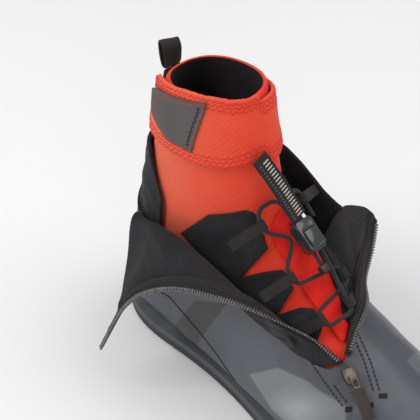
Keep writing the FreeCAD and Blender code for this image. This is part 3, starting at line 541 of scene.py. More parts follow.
def arc_uv(grid):
    """Millimetre texture coordinates along rows and columns."""
    rows, columns = grid.shape[:2]
    down = np.concatenate([[0], np.cumsum(np.linalg.norm(np.diff(grid, axis=0), axis=2).mean(axis=1))])
    across = np.concatenate([[0], np.cumsum(np.linalg.norm(np.diff(grid, axis=1), axis=2).mean(axis=0))])
    return [(across[c], down[r]) for r in range(rows) for c in range(columns)]


class Skin:
    """Surface of an object that points can be dropped onto."""

    def __init__(self, obj):
        mesh = obj.data
        self.tree = BVHTree.FromPolygons([v.co / MM for v in mesh.vertices],
                                         [tuple(p.vertices) for p in mesh.polygons])

    def drop(self, start, direction, reach=400.0):
        """(point, normal facing the start) where a ray meets the surface, or None."""
        direction = Vector(direction).normalized()
        point, normal, _, _ = self.tree.ray_cast(Vector(start), direction, reach)
        if point is None:
            return None
        if normal.dot(direction) > 0:
            normal = -normal
        return np.array(point), np.array(normal)

    def from_outside(self, turn, height, reach=400.0):
        """Where the cuff is met from outside, at a turn about the ankle axis and a height."""
        way = np.array([math.cos(turn), math.sin(turn), 0.0])
        return self.drop(np.array([ANKLE_X, 0.0, height]) + way * CUFF_REACH, -way, reach)

    def nearest(self, point, facing):
        found, normal, _, _ = self.tree.find_nearest(Vector(point))
        if normal.dot(Vector(facing)) < 0:
            normal = -normal
        return np.array(found), np.array(normal)


# ---------------------------------------------------------------- stitching
def walked(points):
    """Distance along a line from its start to each of its points."""
    return np.concatenate([[0], np.cumsum(np.linalg.norm(np.diff(points, axis=0), axis=1))])


def at_spots(points, steps, spots):
    return np.stack([np.interp(spots, steps, points[:, k]) for k in range(points.shape[1])], axis=1)


def resample(points, spacing):
    points = np.asarray(points, float)
    steps = walked(points)
    return at_spots(points, steps, np.arange(0, steps[-1], spacing))


def resample_count(points, count):
    steps = walked(points)
    return at_spots(points, steps, np.linspace(0, steps[-1], count))


def capsule(centre, along, up, length, radius, points, faces):
    """One raised stitch added to a growing mesh."""
    along = unit(along)
    up = unit(up - along * np.dot(up, along))
    side = np.cross(along, up)
    first = len(points)
    for share, size in ((-1, 0.35), (-0.7, 1), (0.7, 1), (1, 0.35)):
        for k in range(6):
            turn = math.pi * k / 3
            points.append(centre + along * share * length / 2
                          + (side * math.cos(turn) + up * math.sin(turn)) * radius * size)
    for ring in range(3):
        for k in range(6):
            a, b = first + ring * 6 + k, first + ring * 6 + (k + 1) % 6
            faces.append((a, b, b + 6, a + 6))
    faces.append(tuple(first + k for k in range(5, -1, -1)))
    faces.append(tuple(first + 18 + k for k in range(6)))


def stitch_row(name, path, material, body, slot, spacing, length, radius, slants=(0.0,), lift=0.05):
    """Row of stitches along (x, y, z, nx, ny, nz) points; slants (radians) are used one after another."""
    path = resample(path, spacing)
    points, faces = [], []
    for k in range(1, len(path) - 1):
        p, n = path[k, :3], unit(path[k, 3:])
        along = unit(path[k + 1, :3] - path[k - 1, :3])
        across = np.cross(n, along)
        slant = slants[k % len(slants)]
        way = along * math.cos(slant) + across * math.sin(slant)
        capsule(p + n * lift, way, n, length, radius, points, faces)
    return finish_piece(mesh_object(name, points, faces, material), body, slot)


def tube(name, path, radius, material, body, slot, sides=12, *replaced):
    """Round cord along a path, with texture coordinates along it."""
    path = np.asarray(path, float)
    points, uv = [], []
    up = np.array([0.0, 0.0, 1.0])
    gone = 0.0
    for k, p in enumerate(path):
        along = unit(path[min(k + 1, len(path) - 1)] - path[max(k - 1, 0)])
        up = unit(up - along * np.dot(up, along))
        side = np.cross(along, up)
        if k:
            gone += np.linalg.norm(p - path[k - 1])
        for j in range(sides):
            turn = 2 * math.pi * j / sides
            points.append(p + (side * math.cos(turn) + up * math.sin(turn)) * radius)
            uv.append((radius * turn, gone))
    faces = grid_faces(len(path), sides, True)
    faces.append(tuple(range(sides - 1, -1, -1)))
    faces.append(tuple(len(points) - sides + j for j in range(sides)))
    return finish_piece(mesh_object(name, points, faces, material, uv), body, slot, *replaced)


# ---------------------------------------------------------------- liner cuff
LINER_ROWS, LINER_COLUMNS = 150, 144


def liner():
    """Inner boot as one closed sheet: outside, rounded rim and lining."""
    outer = boot_grid(4.2, LINER_ROWS, LINER_COLUMNS, RIM, 1.0)
    inner = boot_grid(7.2, LINER_ROWS, LINER_COLUMNS, RIM, 1.0)
    normals = grid_normals(outer, True)
    heights = np.linspace(0, 1, LINER_ROWS)
    for r in range(2, LINER_ROWS):
        outer[r] = rumpled(outer[r], normals[r], 0.55 if heights[r] < 0.93 else 0.3, 17.0, 4.2, (1, 1, 0.7))
    rise = outer[-1] - outer[-4]
    rise = rise / np.linalg.norm(rise, axis=1, keepdims=True)
    middle, half = (outer[-1] + inner[-1]) / 2, (outer[-1] - inner[-1]) / 2
    rim = [middle + half * math.cos(t) + rise * 2.1 * math.sin(t) for t in np.linspace(0, math.pi, 11)[1:-1]]
    full = np.concatenate([outer, np.array(rim), inner[::-1]])
    faces = grid_faces(len(full), LINER_COLUMNS, True)
    faces.append(tuple(range(LINER_COLUMNS - 1, -1, -1)))
    faces.append(tuple(len(full) * LINER_COLUMNS - LINER_COLUMNS + c for c in range(LINER_COLUMNS)))
    obj = mesh_object("cuff_liner", full.reshape(-1, 3), faces, [neoprene, binding, lining], arc_uv(full))
    for face in obj.data.polygons:
        row = face.index // LINER_COLUMNS - LINER_ROWS
        face.material_index = 1 if -2 <= row < 6 else int(row >= 0) * 2
    finish_piece(obj, "boot", "liner_neoprene", "liner")
    return obj, outer


liner_obj, liner_outer = liner()
liner_skin = Skin(liner_obj)


def cuff_path(skin, heights):
    """Points on a skin all round the ankle axis at heights(turn), seen from outside."""
    hits = [skin.from_outside(turn, heights(turn)) for turn in np.linspace(-math.pi, math.pi, 160)]
    return [np.concatenate(hit) for hit in hits if hit is not None]


def rim_height(turn):
    """Height of the cuff rim at a turn about the ankle axis."""
    spots = np.arctan2(liner_outer[-1, :, 1], liner_outer[-1, :, 0] - ANKLE_X)
    order = np.argsort(spots)
    return float(np.interp(turn, spots[order], liner_outer[-1, order, 2], period=2 * math.pi))


for label, below, slant in (("rim_stitch_upper", 2.4, 0.75), ("rim_stitch_lower", 5.2, -0.75)):
    path = cuff_path(liner_skin, lambda t: rim_height(t) - below)
    stitch_row(label, path, thread_red, "boot", "liner_neoprene", 1.9, 2.6, 0.30, (slant, -slant))


# ---------------------------------------------------------------- wrap strap
def edge_heights(skin, turns, low, high):
    """Lowest and highest heights at which a skin is met, at each turn about the ankle axis."""
    found, levels = [], np.arange(low, high, 0.5)
    for turn in turns:
        hits = [z for z in levels if skin.from_outside(turn, z, 88.0)]
        found.append((min(hits), max(hits)) if hits else (np.nan, np.nan))
    return np.array(found)


def ramped(turn, start, span):
    """Smooth step of a turn in radians, from 0 at start to 1 a span further on, both in degrees."""
    share = clamp((turn - math.radians(start)) / math.radians(span))
    return share * share * (3 - 2 * share)


def reshape_wrap(obj, slide=14.0):
    """Let the free end stand off the cuff, slid round by some degrees, and pull the sewn corner close."""
    for v in obj.data.vertices:
        out_x = v.co.x - ANKLE_X * MM
        turn, reach = math.atan2(v.co.y, out_x), math.hypot(v.co.y, out_x)
        lobe, corner = ramped(-turn, 86.0, 50.0), ramped(turn, 15.0, 50.0)
        turn -= math.radians(slide) * lobe
        reach += (3.4 * lobe - corner) * MM
        v.co.x, v.co.y = ANKLE_X * MM + reach * math.cos(turn), reach * math.sin(turn)
    obj.data.update()


strap = soft_copy("wrap_strap", neoprene, 0.75, 5, 0.25, 14.0, "wrap", name="wrap_strap_cloth")
reshape_wrap(strap)
strap_skin = Skin(strap)
turns = np.radians(np.arange(-168, 82, 1.5))
edges = edge_heights(strap_skin, turns, 155, 224)
known = ~np.isnan(edges[:, 0])
turns, edges = turns[known], edges[known]


def smoothed(values, width):
    kernel = np.ones(width) / width
    return np.convolve(np.pad(values, width // 2, mode="edge"), kernel, mode="valid")[:len(values)]


strap_low, strap_high = smoothed(edges[:, 0], 5), smoothed(edges[:, 1], 5)
for row, (inset, slant) in enumerate(((1.6, 0.8), (4.4, -0.8), (7.2, 0.8))):
    for side_name, line in (("low", strap_low + inset), ("high", strap_high - inset)):
        path, tall = [], strap_high - strap_low > 2.4 * inset + 8.0
        for turn, z in zip(turns[tall], line[tall]):
            hit = strap_skin.from_outside(turn, z)
            if hit is not None and np.hypot(hit[0][0] - ANKLE_X, hit[0][1]) > NEAREST_WRAP:
                path.append(np.concatenate(hit))
        stitch_row("wrap_stitch_%s_%d" % (side_name, row), path, thread_red, "wrap", "liner_neoprene",
                   1.9, 2.5, 0.27, (slant, -slant), lift=0.02)

label = soft_copy("wrap_label", label_look, 0.5, 3, 0.1, 9.0, "wrap", name="wrap_label_patch")
reshape_wrap(label, 6.5)
label_skin = Skin(label)
reshape_wrap(soft_copy("wrap_hook_patch", hook_look, 0.4, 2, 0.1, 3.0, "wrap"))
soft_copy("liner_loop_patch", hook_look, 0.4, 2, 0.1, 3.0)


def outer_side_path(skin, outline):
    """Outline of (x, z) points dropped onto a skin from the outer side."""
    hits = [skin.drop((x, -80.0, z), (0, 1, 0), 120.0) for x, z in resample(outline, 0.8)]
    return [np.concatenate(hit) for hit in hits if hit is not None]


label_frame = [(7.2, 195), (12.6, 200), (44.4, 209.6), (39.0, 178.6), (23.6, 177), (9.6, 184.6), (7.2, 195)]
label_bar = [(42.0, 209.0), (36.6, 178.4)]
stitch_row("label_edge_stitch", outer_side_path(label_skin, label_frame), thread_red, "wrap", "label_textile",
           1.6, 1.4, 0.16)
stitch_row("label_bar_stitch", outer_side_path(label_skin, label_bar), thread_dark, "wrap", "label_textile",
           1.7, 2.2, 0.32, (0.9, -0.9), lift=0.1)

# ---------------------------------------------------------------- outer shell
def shell():
    """Outer shell, creased over the ball of the foot and cut off at the throat."""
    outer = boot_grid(0.0, 170, 168, 15)
    normals = grid_normals(outer, True)
    for r in range(3, len(outer)):
        flex = np.exp(-((outer[r, :, 0] - 165.0) / 38.0) ** 2)
        base = rumpled(outer[r], normals[r], 0.45, 26.0, 7.7)
        fold = rumpled(outer[r], normals[r], 1.0, 30.0, 2.3, (1.9, 0.55, 0.7))
        outer[r] = np.array(base) + (np.array(fold) - outer[r]) * flex[:, None] * 0.8
    faces = grid_faces(len(outer), outer.shape[1], True)
    faces.append(tuple(range(outer.shape[1] - 1, -1, -1)))
    obj = mesh_object("shell_cloth", outer.reshape(-1, 3), faces, laminate_material, arc_uv(outer))
    work = bmesh.new()
    work.from_mesh(obj.data)
    bmesh.ops.bisect_plane(work, geom=work.verts[:] + work.edges[:] + work.faces[:],
                           plane_co=Vector((163.0, -18.0, 82.0)) * MM,
                           plane_no=Vector((THROAT_SLOPE, -THROAT_TILT, 1.0)).normalized(), clear_outer=True)
    bmesh.ops.recalc_face_normals(work, faces=work.faces[:])
    work.to_mesh(obj.data)
    work.free()
    modify(obj, "SOLIDIFY", thickness=2.0 * MM, offset=-1.0, use_rim=True)
    applied(obj)
    shade_smooth(obj)
    return finish_piece(obj, "boot", "shell_laminate", "shell_lower")


shell_obj = shell()
shell_skin = Skin(shell_obj)


def throat_binding():
    """Tape over the cut edge of the shell, all round the throat."""
    def hit(x, way):
        way = np.array([way[0], way[1], -THROAT_SLOPE * way[0] + THROAT_TILT * way[1]])
        start = np.array([x, 0.0, throat_height(x, 0.0) - 1.0])
        return shell_skin.drop(start - way * 90.0, way, 120.0)

    found = [hit(x, (0.0, 1.0)) for x in np.linspace(70.0, 0.0, 40)]
    found += [hit(0.0, (-math.cos(t), -math.sin(t))) for t in np.radians(np.linspace(-92.0, -268.0, 50))]
    found += [hit(x, (0.0, -1.0)) for x in np.linspace(0.0, 70.0, 40)]
    path = np.array([h[0] for h in found if h is not None])
    for _ in range(4):
        path[1:-1] = (path[:-2] + path[2:] + path[1:-1] * 2) / 4
    tube("throat_binding", path, 1.25, softshell, "boot", "softshell", 10)


throat_binding()

# ---------------------------------------------------------------- collar, guards, tongue and inner pieces
collar = soft_copy("shell_collar", softshell, 0.8, 6, 1.3, 22.0)
soft_copy("lace_guard_medial", guard_cloth, 0.55, 4, 0.25, 9.0)
soft_copy("tongue", tongue_shaded_look, 0.55, 4, 0.25, 9.0)
soft_copy("footbed", footbed_look, 1.3, 3, 0.2, 9.0)
soft_copy("lasting_board", board_look, 1.2, 2, 0.1, 9.0)
soft_copy("pull_loop_base", webbing, 0.35, 3, 0.05, 4.0)


# ---------------------------------------------------------------- hard pieces with eased edges
def eased_copy(node, material, body, width):
    obj = cad_copy(node, node + "_part", material)
    modify(obj, "BEVEL", width=width * MM, segments=3, limit_method="ANGLE", angle_limit=0.6)
    modify(obj, "WEIGHTED_NORMAL")
    applied(obj)
    shade_smooth(obj)
    finish_piece(obj, body, slot_of[node], node)


for node in ("heel_counter", "toe_puff"):
    dress(nodes[node], moulded)
for node, look, body, width in (
        ("outsole", rubber, "boot", 0.8), ("heel_tread", tread_rubber, "boot", 0.5),
        ("toe_insert", moulded, "boot", 0.5), ("forefoot_tread_lateral", tread_rubber, "boot", 0.5),
        ("forefoot_tread_centre", tread_rubber, "boot", 0.5),
        ("forefoot_tread_medial", tread_rubber, "boot", 0.5), ("toe_bar", steel, "boot", 0.3),
        ("lace_lock_body", gloss, "lock", 0.7), ("lace_lock_button", gloss, "lock_button", 0.5),
        ("lace_end_clip", moulded, "boot", 0.5), ("zip_slider", bronze, "slider", 0.6),
        ("zip_pull_link", bronze, "puller", 0.3), ("zip_pull_tab", puller_skin, "puller", 0.6),
        ("zip_bottom_stop", bronze, "boot", 0.4)):
    eased_copy(node, look, body, width)

# ---------------------------------------------------------------- instep frame
ANGLE = math.radians(37.7)
ALONG = np.array([-math.cos(ANGLE), 0.0, math.sin(ANGLE)])
OUTWARD = np.array([math.sin(ANGLE), 0.0, math.cos(ANGLE)])
INSTEP = 160.0              # of the instep frame's origin, outward from the CAD origin


def instep(x, v, z):
    """World point of (across, along, outward) instep coordinates."""
    return OUTWARD * (INSTEP + z) + ALONG * v + np.array([0.0, x, 0.0])


# edge of the outer lace guard: distance along the instep and the across position that the cloth reaches
GUARD_EDGE = ((31.0, -16.5), (29.0, -14.0), (25.0, -12.6), (14.0, -12.8), (6.0, -14.5), (2.5, -20.0),
              (-1.0, -26.0), (-4.5, -19.0), (-8.0, -14.2), (-14.0, -13.2), (-21.0, -14.6), (-25.5, -22.0),
              (-29.0, -27.0), (-32.0, -17.0), (-36.0, -12.4), (-43.0, -11.8), (-49.0, -14.5), (-53.0, -21.0),
              (-57.0, -25.0))


def outer_guard():
    """Lace guard with three fingers lying on the inner boot, and its edge stitching."""
    ground = [Skin(bpy.data.objects[name]) for name in ("tongue_soft", "cuff_liner")]
    spots = [p[0] for p in GUARD_EDGE]
    rows, across = np.arange(spots[0], spots[-1] - 0.1, -0.75), 30
    grid = []
    for v in rows:
        rim = float(np.interp(-v, [-a for a in spots], [p[1] for p in GUARD_EDGE]))
        line = []
        for k in range(78):
            angle = math.radians(2.0 + k * 1.7)
            rise = 11.0 * clamp((math.degrees(angle) - 24.0) / 50.0) * clamp((v + 5.0) / 30.0)
            way = OUTWARD * math.cos(angle) + np.array([0.0, -math.sin(angle), 0.0])
            centre = instep(0.0, v + rise, -32.0)
            hits = [hit[0] for skin in ground
                    for hit in [skin.drop(centre + way * 70.0, -way, 70.0)] if hit is not None]
            if hits:
                far = max(hits, key=lambda p: np.dot(p - centre, way))
                line.append(far + way * 1.3)
        line = np.array(line)
        inner = max(int(np.argmax(line[:, 1] < rim)), 1)
        share = (line[inner - 1, 1] - rim) / max(line[inner - 1, 1] - line[inner, 1], 1e-6)
        edge = line[inner - 1] + (line[inner] - line[inner - 1]) * clamp(share)
        grid.append(resample_count(np.vstack([edge, line[inner:]]), across))
    grid = np.array(grid)
    for _ in range(3):
        around = grid[:-2, 1:-1] + grid[2:, 1:-1] + grid[1:-1, :-2] + grid[1:-1, 2:]
        grid[1:-1, 1:-1] = (around + grid[1:-1, 1:-1] * 2) / 6
    normals = grid_normals(grid)
    if normals[:, :6, 2].mean() < 0:
        normals = -normals

    def seam(places):
        return [np.concatenate([grid[r, c] + normals[r, c] * 0.65, normals[r, c]]) for r, c in places]

    points = np.array(rumpled(grid.reshape(-1, 3), normals.reshape(-1, 3), 0.35, 11.0, 5.2))
    obj = mesh_object("lace_guard_outer", points, grid_faces(len(rows), across), guard_cloth, arc_uv(grid))
    thicken(obj, 1.3, 0.35, 0.9)
    finish_piece(obj, "boot", "guard_textile", "lace_guard_lateral")
    for name, places in (("guard_edge_stitch", [(r, 2) for r in range(1, len(rows) - 1)]),
                         ("guard_top_stitch", [(2, c) for c in range(1, across - 4)])):
        stitch_row(name, seam(places), thread_dark, "boot", "guard_textile", 1.8, 1.7, 0.26, (0.8, -0.8), 0.1)


outer_guard()


def tangent_path(bends):
    """Straight runs joined by tangent arcs, as points."""
    points, start = [], np.array(bends[0][0], float)
    for k in range(1, len(bends) - 1):
        corner, turn = np.array(bends[k][0], float), bends[k][1]
        into = corner - np.array(bends[k - 1][0], float)
        out = np.array(bends[k + 1][0], float) - corner
        into, out = unit(into), unit(out)
        angle = math.acos(max(-1.0, min(1.0, float(np.dot(into, out)))))
        cut = turn * math.tan(angle / 2)
        first, last = corner - into * cut, corner + out * cut
        points += [start, first]
        middle = out - into
        centre = corner + unit(middle) * turn / math.cos(angle / 2)
        a, b = first - centre, last - centre
        for t in np.linspace(0, 1, 10)[1:-1]:
            arm = a * math.sin((1 - t) * angle) + b * math.sin(t * angle)
            points.append(centre + arm / math.sin(angle))
        start = last
    points += [start, np.array(bends[-1][0], float)]
    return resample(points, 0.6)


# across, along and outward place of each webbing loop's eye on the instep
LOOPS = {"lateral_lace_loop_1": (-17.0, 20.0, 3.4), "lateral_lace_loop_2": (-18.0, -14.0, 1.4),
         "lateral_lace_loop_3": (-17.0, -44.0, 2.4), "medial_lace_loop_1": (15.0, 20.0, 6.5),
         "medial_lace_loop_2": (11.0, -29.0, 5.6), "medial_lace_loop_3": (1.5, -44.0, 8.2)}
STRAND, STRAND_Z, TAIL, CROWN, TURN = 2.8, 11.4, -17.0, 29.0, 4.6
LACE_RADIUS = 1.3


def bends_at(name, upward=False):
    x, v, z = LOOPS[name]
    pair = [((x, v + 5.3, z), TURN), ((x, v - 5.3, z), TURN)]
    return pair[::-1] if upward else pair


bends = [((-STRAND, TAIL, STRAND_Z), 0), ((-STRAND, CROWN, STRAND_Z), 6.5), ((-17.0, CROWN, 4.6), 6.5),
         ((-17.0, 15.3, 3.4), TURN), ((-5.0, 4.5, 5.2), TURN)]
for name in ("lateral_lace_loop_2", "medial_lace_loop_2", "lateral_lace_loop_3"):
    bends += bends_at(name)
bends += bends_at("medial_lace_loop_3", True)
bends += [((STRAND, -13.0, STRAND_Z), 20.0), ((STRAND, CROWN - 2, STRAND_Z), 5.5),
          ((15.0, CROWN - 2, 7.0), 5.5), ((15.0, 8.0, 5.7), 0)]
lace_line = [instep(*p) for p in tangent_path(bends)]
tube("lace_cord", lace_line, LACE_RADIUS, braid, "boot", "lace_cord", 12, "lace")


lacing_ground = [Skin(bpy.data.objects[name]) for name in
                 ("lace_guard_outer", "lace_guard_medial_soft", "tongue_soft", "shell_cloth", "cuff_liner")]


def ground_under(x, v):
    """Outward height of whatever lies under the lacing."""
    found = [np.dot(hit[0], OUTWARD) - INSTEP for skin in lacing_ground
             for hit in [skin.drop(instep(x, v, 30.0), -OUTWARD, 60.0)] if hit is not None]
    return max(found) if found else -6.0


def webbing_loop(name, place, side):
    """Folded strip of webbing: two layers that lie on the guard and rise to a round eye for the lace."""
    eye, width, thick, legs = 2.1, 6.4, 0.9, 15
    x, v, z = place
    root_x = x + side * 15.0
    root_z = min(ground_under(root_x, v) + 0.9, z)
    tail_x = root_x + side * 5.0
    start = np.array([tail_x, ground_under(tail_x, v) + 0.7])
    bend, end = np.array([root_x, root_z]), np.array([x, z])
    spine = []
    for k in range(legs + 1):
        t = k / legs
        spine.append(start * (1 - t) ** 2 + bend * 2 * t * (1 - t) + end * t ** 2)
    spine = np.array(spine)
    along = np.gradient(spine, axis=0)
    along = along / np.linalg.norm(along, axis=1, keepdims=True)
    normal = np.stack([-along[:, 1], along[:, 0]], axis=1)
    normal = normal * np.where(normal[:, 1:] < 0, -1.0, 1.0)
    gap = np.array([0.50 + (eye - 0.50) * (k / legs) ** 3 for k in range(legs + 1)])
    lower, upper = spine - normal * gap[:, None], spine + normal * gap[:, None]
    forward, out = along[-1], normal[-1]
    bow = [end + forward * eye * math.cos(t) + out * eye * math.sin(t)
           for t in np.linspace(-math.pi / 2, math.pi / 2, 11)]
    line = resample(list(lower) + bow[1:-1] + list(upper[::-1]), 0.6)
    rows = [[instep(a, v + width * (k / 8 - 0.5), b) for k in range(9)] for a, b in line]
    obj = cloth_strip(name + "_webbing", np.array(rows), webbing, thick, 0.2)
    return finish_piece(obj, "boot", "webbing", name)


for name, place in LOOPS.items():
    webbing_loop(name, place, -1 if place[0] < 0 else 1)


# ---------------------------------------------------------------- pull ribbon on the lace lock
RIBBON_SEAT = (0.0, 12.6, 13.4)
RIBBON_TILT = Matrix.Rotation(math.radians(22), 3, "X") @ Matrix.Rotation(math.radians(15), 3, "Z")


def on_ribbon(x, y, z):
    p = RIBBON_TILT @ Vector((x, y, z))
    return instep(RIBBON_SEAT[0] + p.x, RIBBON_SEAT[1] + p.y, RIBBON_SEAT[2] + p.z)


def ribbon_bow(y):
    return 1.1 * math.sin(math.pi * clamp((y - 1.0) / 45.0))


def ribbon():
    line = [(1.0 + 43.6 * k / 30, 0.25) for k in range(31)]
    line += [(44.6 + 1.0 * math.sin(t), 0.95 - 0.7 * math.cos(t)) for t in np.linspace(0, math.pi, 9)[1:-1]]
    line += [(44.6 - 43.6 * k / 30, 1.65) for k in range(31)]
    rows = [[on_ribbon(x, y, z + ribbon_bow(y)) for x in np.linspace(-5.3, 5.3, 13)] for y, z in line]
    obj = cloth_strip("pull_ribbon", np.array(rows), webbing, 0.75)
    finish_piece(obj, "ribbon", "ribbon", "lace_pull_ribbon")
    up = on_ribbon(0, 0, 1) - on_ribbon(0, 0, 0)
    right = on_ribbon(1, 0, 0) - on_ribbon(0, 0, 0)
    for name, centre, width, look, size in (("ribbon_ribs", 1.3, 4.6, thread_pale, 0.48),
                                            ("ribbon_side_ribs", -3.6, 1.7, thread_grey, 0.36)):
        points, faces = [], []
        for y in np.arange(3.0, 43.5, 2.15):
            capsule(on_ribbon(centre, y, 2.06 + ribbon_bow(y)), right, up, width, size, points, faces)
        finish_piece(mesh_object(name, points, faces, look), "ribbon", "ribbon")
    for name, x in (("ribbon_seam_left", -4.9), ("ribbon_seam_right", 4.7)):
        path = [np.concatenate([on_ribbon(x, y, 2.02 + ribbon_bow(y)), up])
                for y in np.linspace(1.5, 44.0, 60)]
        stitch_row(name, path, thread_dark, "ribbon", "ribbon", 1.6, 1.2, 0.16)


ribbon()


# ---------------------------------------------------------------- heel pull loop
def pull_loop():
    radius, foot, crown, centre = 3.4, 196.7, 213.6, -9.0
    line = [(centre + 1.4, foot), (centre + radius * 0.7, foot + 5.0)]
    line += [(centre + radius * math.cos(t), crown - radius + radius * math.sin(t))
             for t in np.linspace(0, math.pi, 15)]
    line += [(centre - radius * 0.7, foot + 5.0), (centre - 1.4, foot)]
    line = resample(line + line[:1], 0.9)
    rows = []
    for x, z in line:
        twist = -0.42 * clamp((z - foot) / (crown - foot))
        lean = 1.6 * math.sin(max(z - foot, 0.0) / 11.0)
        out, cos, sin = x - centre, math.cos(twist), math.sin(twist)
        rows.append([(centre + out * cos - y * sin + 0.25 * math.sin(y * 0.5),
                      out * sin + y * cos - lean * 0.6, z) for y in np.linspace(-5.6, 5.6, 13)])
    obj = cloth_strip("heel_loop_webbing", np.array(rows), webbing, 1.3, 0.3)
    finish_piece(obj, "pull_loop", "webbing", "heel_pull_loop")


pull_loop()


# ---------------------------------------------------------------- folded gaiter leaves
def edge_point(position, side, inset, gap):
    """Where the boot surface meets the throat plane at a fractional station position."""
    row, low, high = eased(STATIONS, position), 0.3, 1.0
    for _ in range(24):
        turn = (low + high) / 2
        p = section_point(row, turn, side, inset)
        low, high = (turn, high) if p[2] < throat_height(p[0], p[1]) else (low, turn)
    return p + np.array([0.0, 0.0, gap])


root_lines = {side: [edge_point(5 + k * 0.19, side, 0.9, -0.8) for k in range(40)] for side in (-1, 1)}


def root_at(x, side):
    line = root_lines[side]
    spots = np.array([p[0] for p in line])
    order = np.argsort(spots)
    return np.array([np.interp(x, spots[order], np.array([p[k] for p in line])[order]) for k in range(3)])


def eased_net(columns, row_steps, column_steps):
    def along(points, steps):
        return [eased(points, k / steps * (len(points) - 1)) for k in range(steps + 1)]
    rows = [along(column, row_steps) for column in columns]
    return np.array([along(line, column_steps) for line in zip(*rows)])      # (row, column, 3)


def net_grid(net, rows, columns):
    u = weights(net.shape[0], np.linspace(0, net.shape[0] - 3, rows), False)
    v = weights(net.shape[1], np.linspace(0, net.shape[1] - 3, columns), False)
    return np.einsum("ri,ijk,cj->rck", u, net, v)


def cloth_drape(obj, rows, columns, held_top, held_bottom, frames=22):
    """Let the cloth settle between its sewn root and its stiff zip edge, and keep the result as the mesh."""
    group = obj.vertex_groups.new(name="held")
    for r in range(rows):
        if r < held_top or r >= rows - held_bottom:
            group.add([r * columns + c for c in range(columns)], 1.0, "REPLACE")
    cloth = modify(obj, "CLOTH")
    settings = cloth.settings
    settings.quality, settings.mass = 8, 0.25
    settings.tension_stiffness = settings.compression_stiffness = 12.0
    settings.shear_stiffness, settings.bending_stiffness = 6.0, 0.12
    settings.vertex_group_mass = "held"
    settings.shrink_min = -0.025
    settings.effector_weights.gravity = 0.35
    cloth.point_cache.frame_start, cloth.point_cache.frame_end = 1, frames
    before = np.array([v.co for v in obj.data.vertices])
    for number in range(1, frames + 1):
        bpy.context.scene.frame_set(number)
    graph = bpy.context.evaluated_depsgraph_get()
    shape = obj.evaluated_get(graph).to_mesh()
    after = np.array([v.co for v in shape.vertices])
    obj.modifiers.clear()
    bpy.context.scene.frame_set(1)
    move = after - before
    far = np.linalg.norm(move, axis=1, keepdims=True)
    move = move * np.minimum(1.0, 2.6 * MM / np.maximum(far, 1e-9))
    for v, p in zip(obj.data.vertices, before + move):
        v.co = Vector(p)
    obj.vertex_groups.clear()


def loose_row(*settings):
    seam = stitch_row(*settings)
    seam.parent = None
    del seam["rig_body"]
    return seam


def leaf(prefix, columns, face_up, rows, count, cloth_look):
    """One gaiter leaf: cloth, zip tape and teeth. Columns run from the sewn root over the fold to the zip."""
    body = prefix + "_leaf"
    columns = [np.array(c, float) for c in columns]
    full = net_grid(eased_net(columns, 9, 3 * (len(columns) - 1)), rows, count)
    normals = grid_normals(full)
    sign = 1.0 if np.mean(normals[rows // 2:] @ np.array(face_up)) > 0 else -1.0
    normals = normals * sign
    # distance of each row from the zip edge
    gaps = np.linalg.norm(np.diff(full[::-1], axis=0), axis=2)
    back = np.concatenate([np.zeros((1, count)), np.cumsum(gaps, axis=0)])[::-1]

    def at_distance(distance, lift):
        """Line of points at a distance inside the zip edge, raised above the cloth."""
        line = []
        for c in range(count):
            reach = min(distance, back[0, c] * 0.62)
            spot = np.array([np.interp(reach, back[::-1, c], full[::-1, c, k]) for k in range(3)])
            n = np.array([np.interp(reach, back[::-1, c], normals[::-1, c, k]) for k in range(3)])
            line.append(np.concatenate([spot + n * lift, n]))
        return np.array(line)

    cloth_grid = full.copy()
    for c in range(count):
        stop = min(3.4, back[0, c] * 0.3)
        spots = np.linspace(back[0, c], stop, rows)
        for k in range(3):
            cloth_grid[:, c, k] = np.interp(-spots, -back[:, c], full[:, c, k])
    obj = mesh_object(prefix + "_leaf_cloth", cloth_grid.reshape(-1, 3), grid_faces(rows, count), cloth_look,
                      arc_uv(cloth_grid))
    cloth_drape(obj, rows, count, 3, 6)
    points = np.array([v.co for v in obj.data.vertices]) / MM
    calm = np.repeat(np.clip(np.minimum(np.arange(rows), np.arange(rows)[::-1]) / 8.0, 0, 1), count)
    wavy = rumpled(points, normals.reshape(-1, 3), 1.3, 24.0, 3.1)
    for v, p, q, hold in zip(obj.data.vertices, points, wavy, calm):
        v.co = Vector(p + (q - p) * hold) * MM
    size = np.linalg.norm(np.diff(cloth_grid, axis=0), axis=2).sum(axis=0)
    thicken(obj, 1.7, 0.35, 0.9)

    tape_rows = [at_distance(d, 1.0 + 0.35 * math.sin(d)) for d in np.linspace(0.9, 10.5, 12)]
    tape_grid = np.array([row[:, :3] for row in tape_rows])
    tape = cloth_strip(prefix + "_tape_cloth", tape_grid, tape_cloth, 0.8)

    teeth_line = resample(at_distance(1.0, 1.3), 1.7)
    points, faces = [], []
    for k in range(1, len(teeth_line) - 1):
        p, n = teeth_line[k, :3], teeth_line[k, 3:]
        across = np.cross(unit(n), unit(teeth_line[k + 1, :3] - teeth_line[k - 1, :3]))
        capsule(p + n * 0.2, across * (1 if k % 2 else -1), n, 3.3, 0.72, points, faces)
    teeth = mesh_object(prefix + "_zip_teeth", points, faces, teeth_look)
    pieces = [(obj, "softshell", [prefix + "_flap"]), (tape, "zip_tape", [prefix + "_zip_tape"]),
              (teeth, "zip_coil", [prefix + "_zip_coil"])]
    for name, inside, size in (("_tape_stitch", 9.2, 0.2), ("_hem_stitch", 3.2, 0.18)):
        path = at_distance(inside, 1.5)[2:-2]
        seam = loose_row(prefix + name, path, thread_dark, body, "zip_tape", 2.2, 1.5, size)
        pieces.append((seam, "zip_tape", []))
    for piece, slot, gone in pieces:
        if gone:
            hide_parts(*gone)
        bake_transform(piece)
    return full, normals


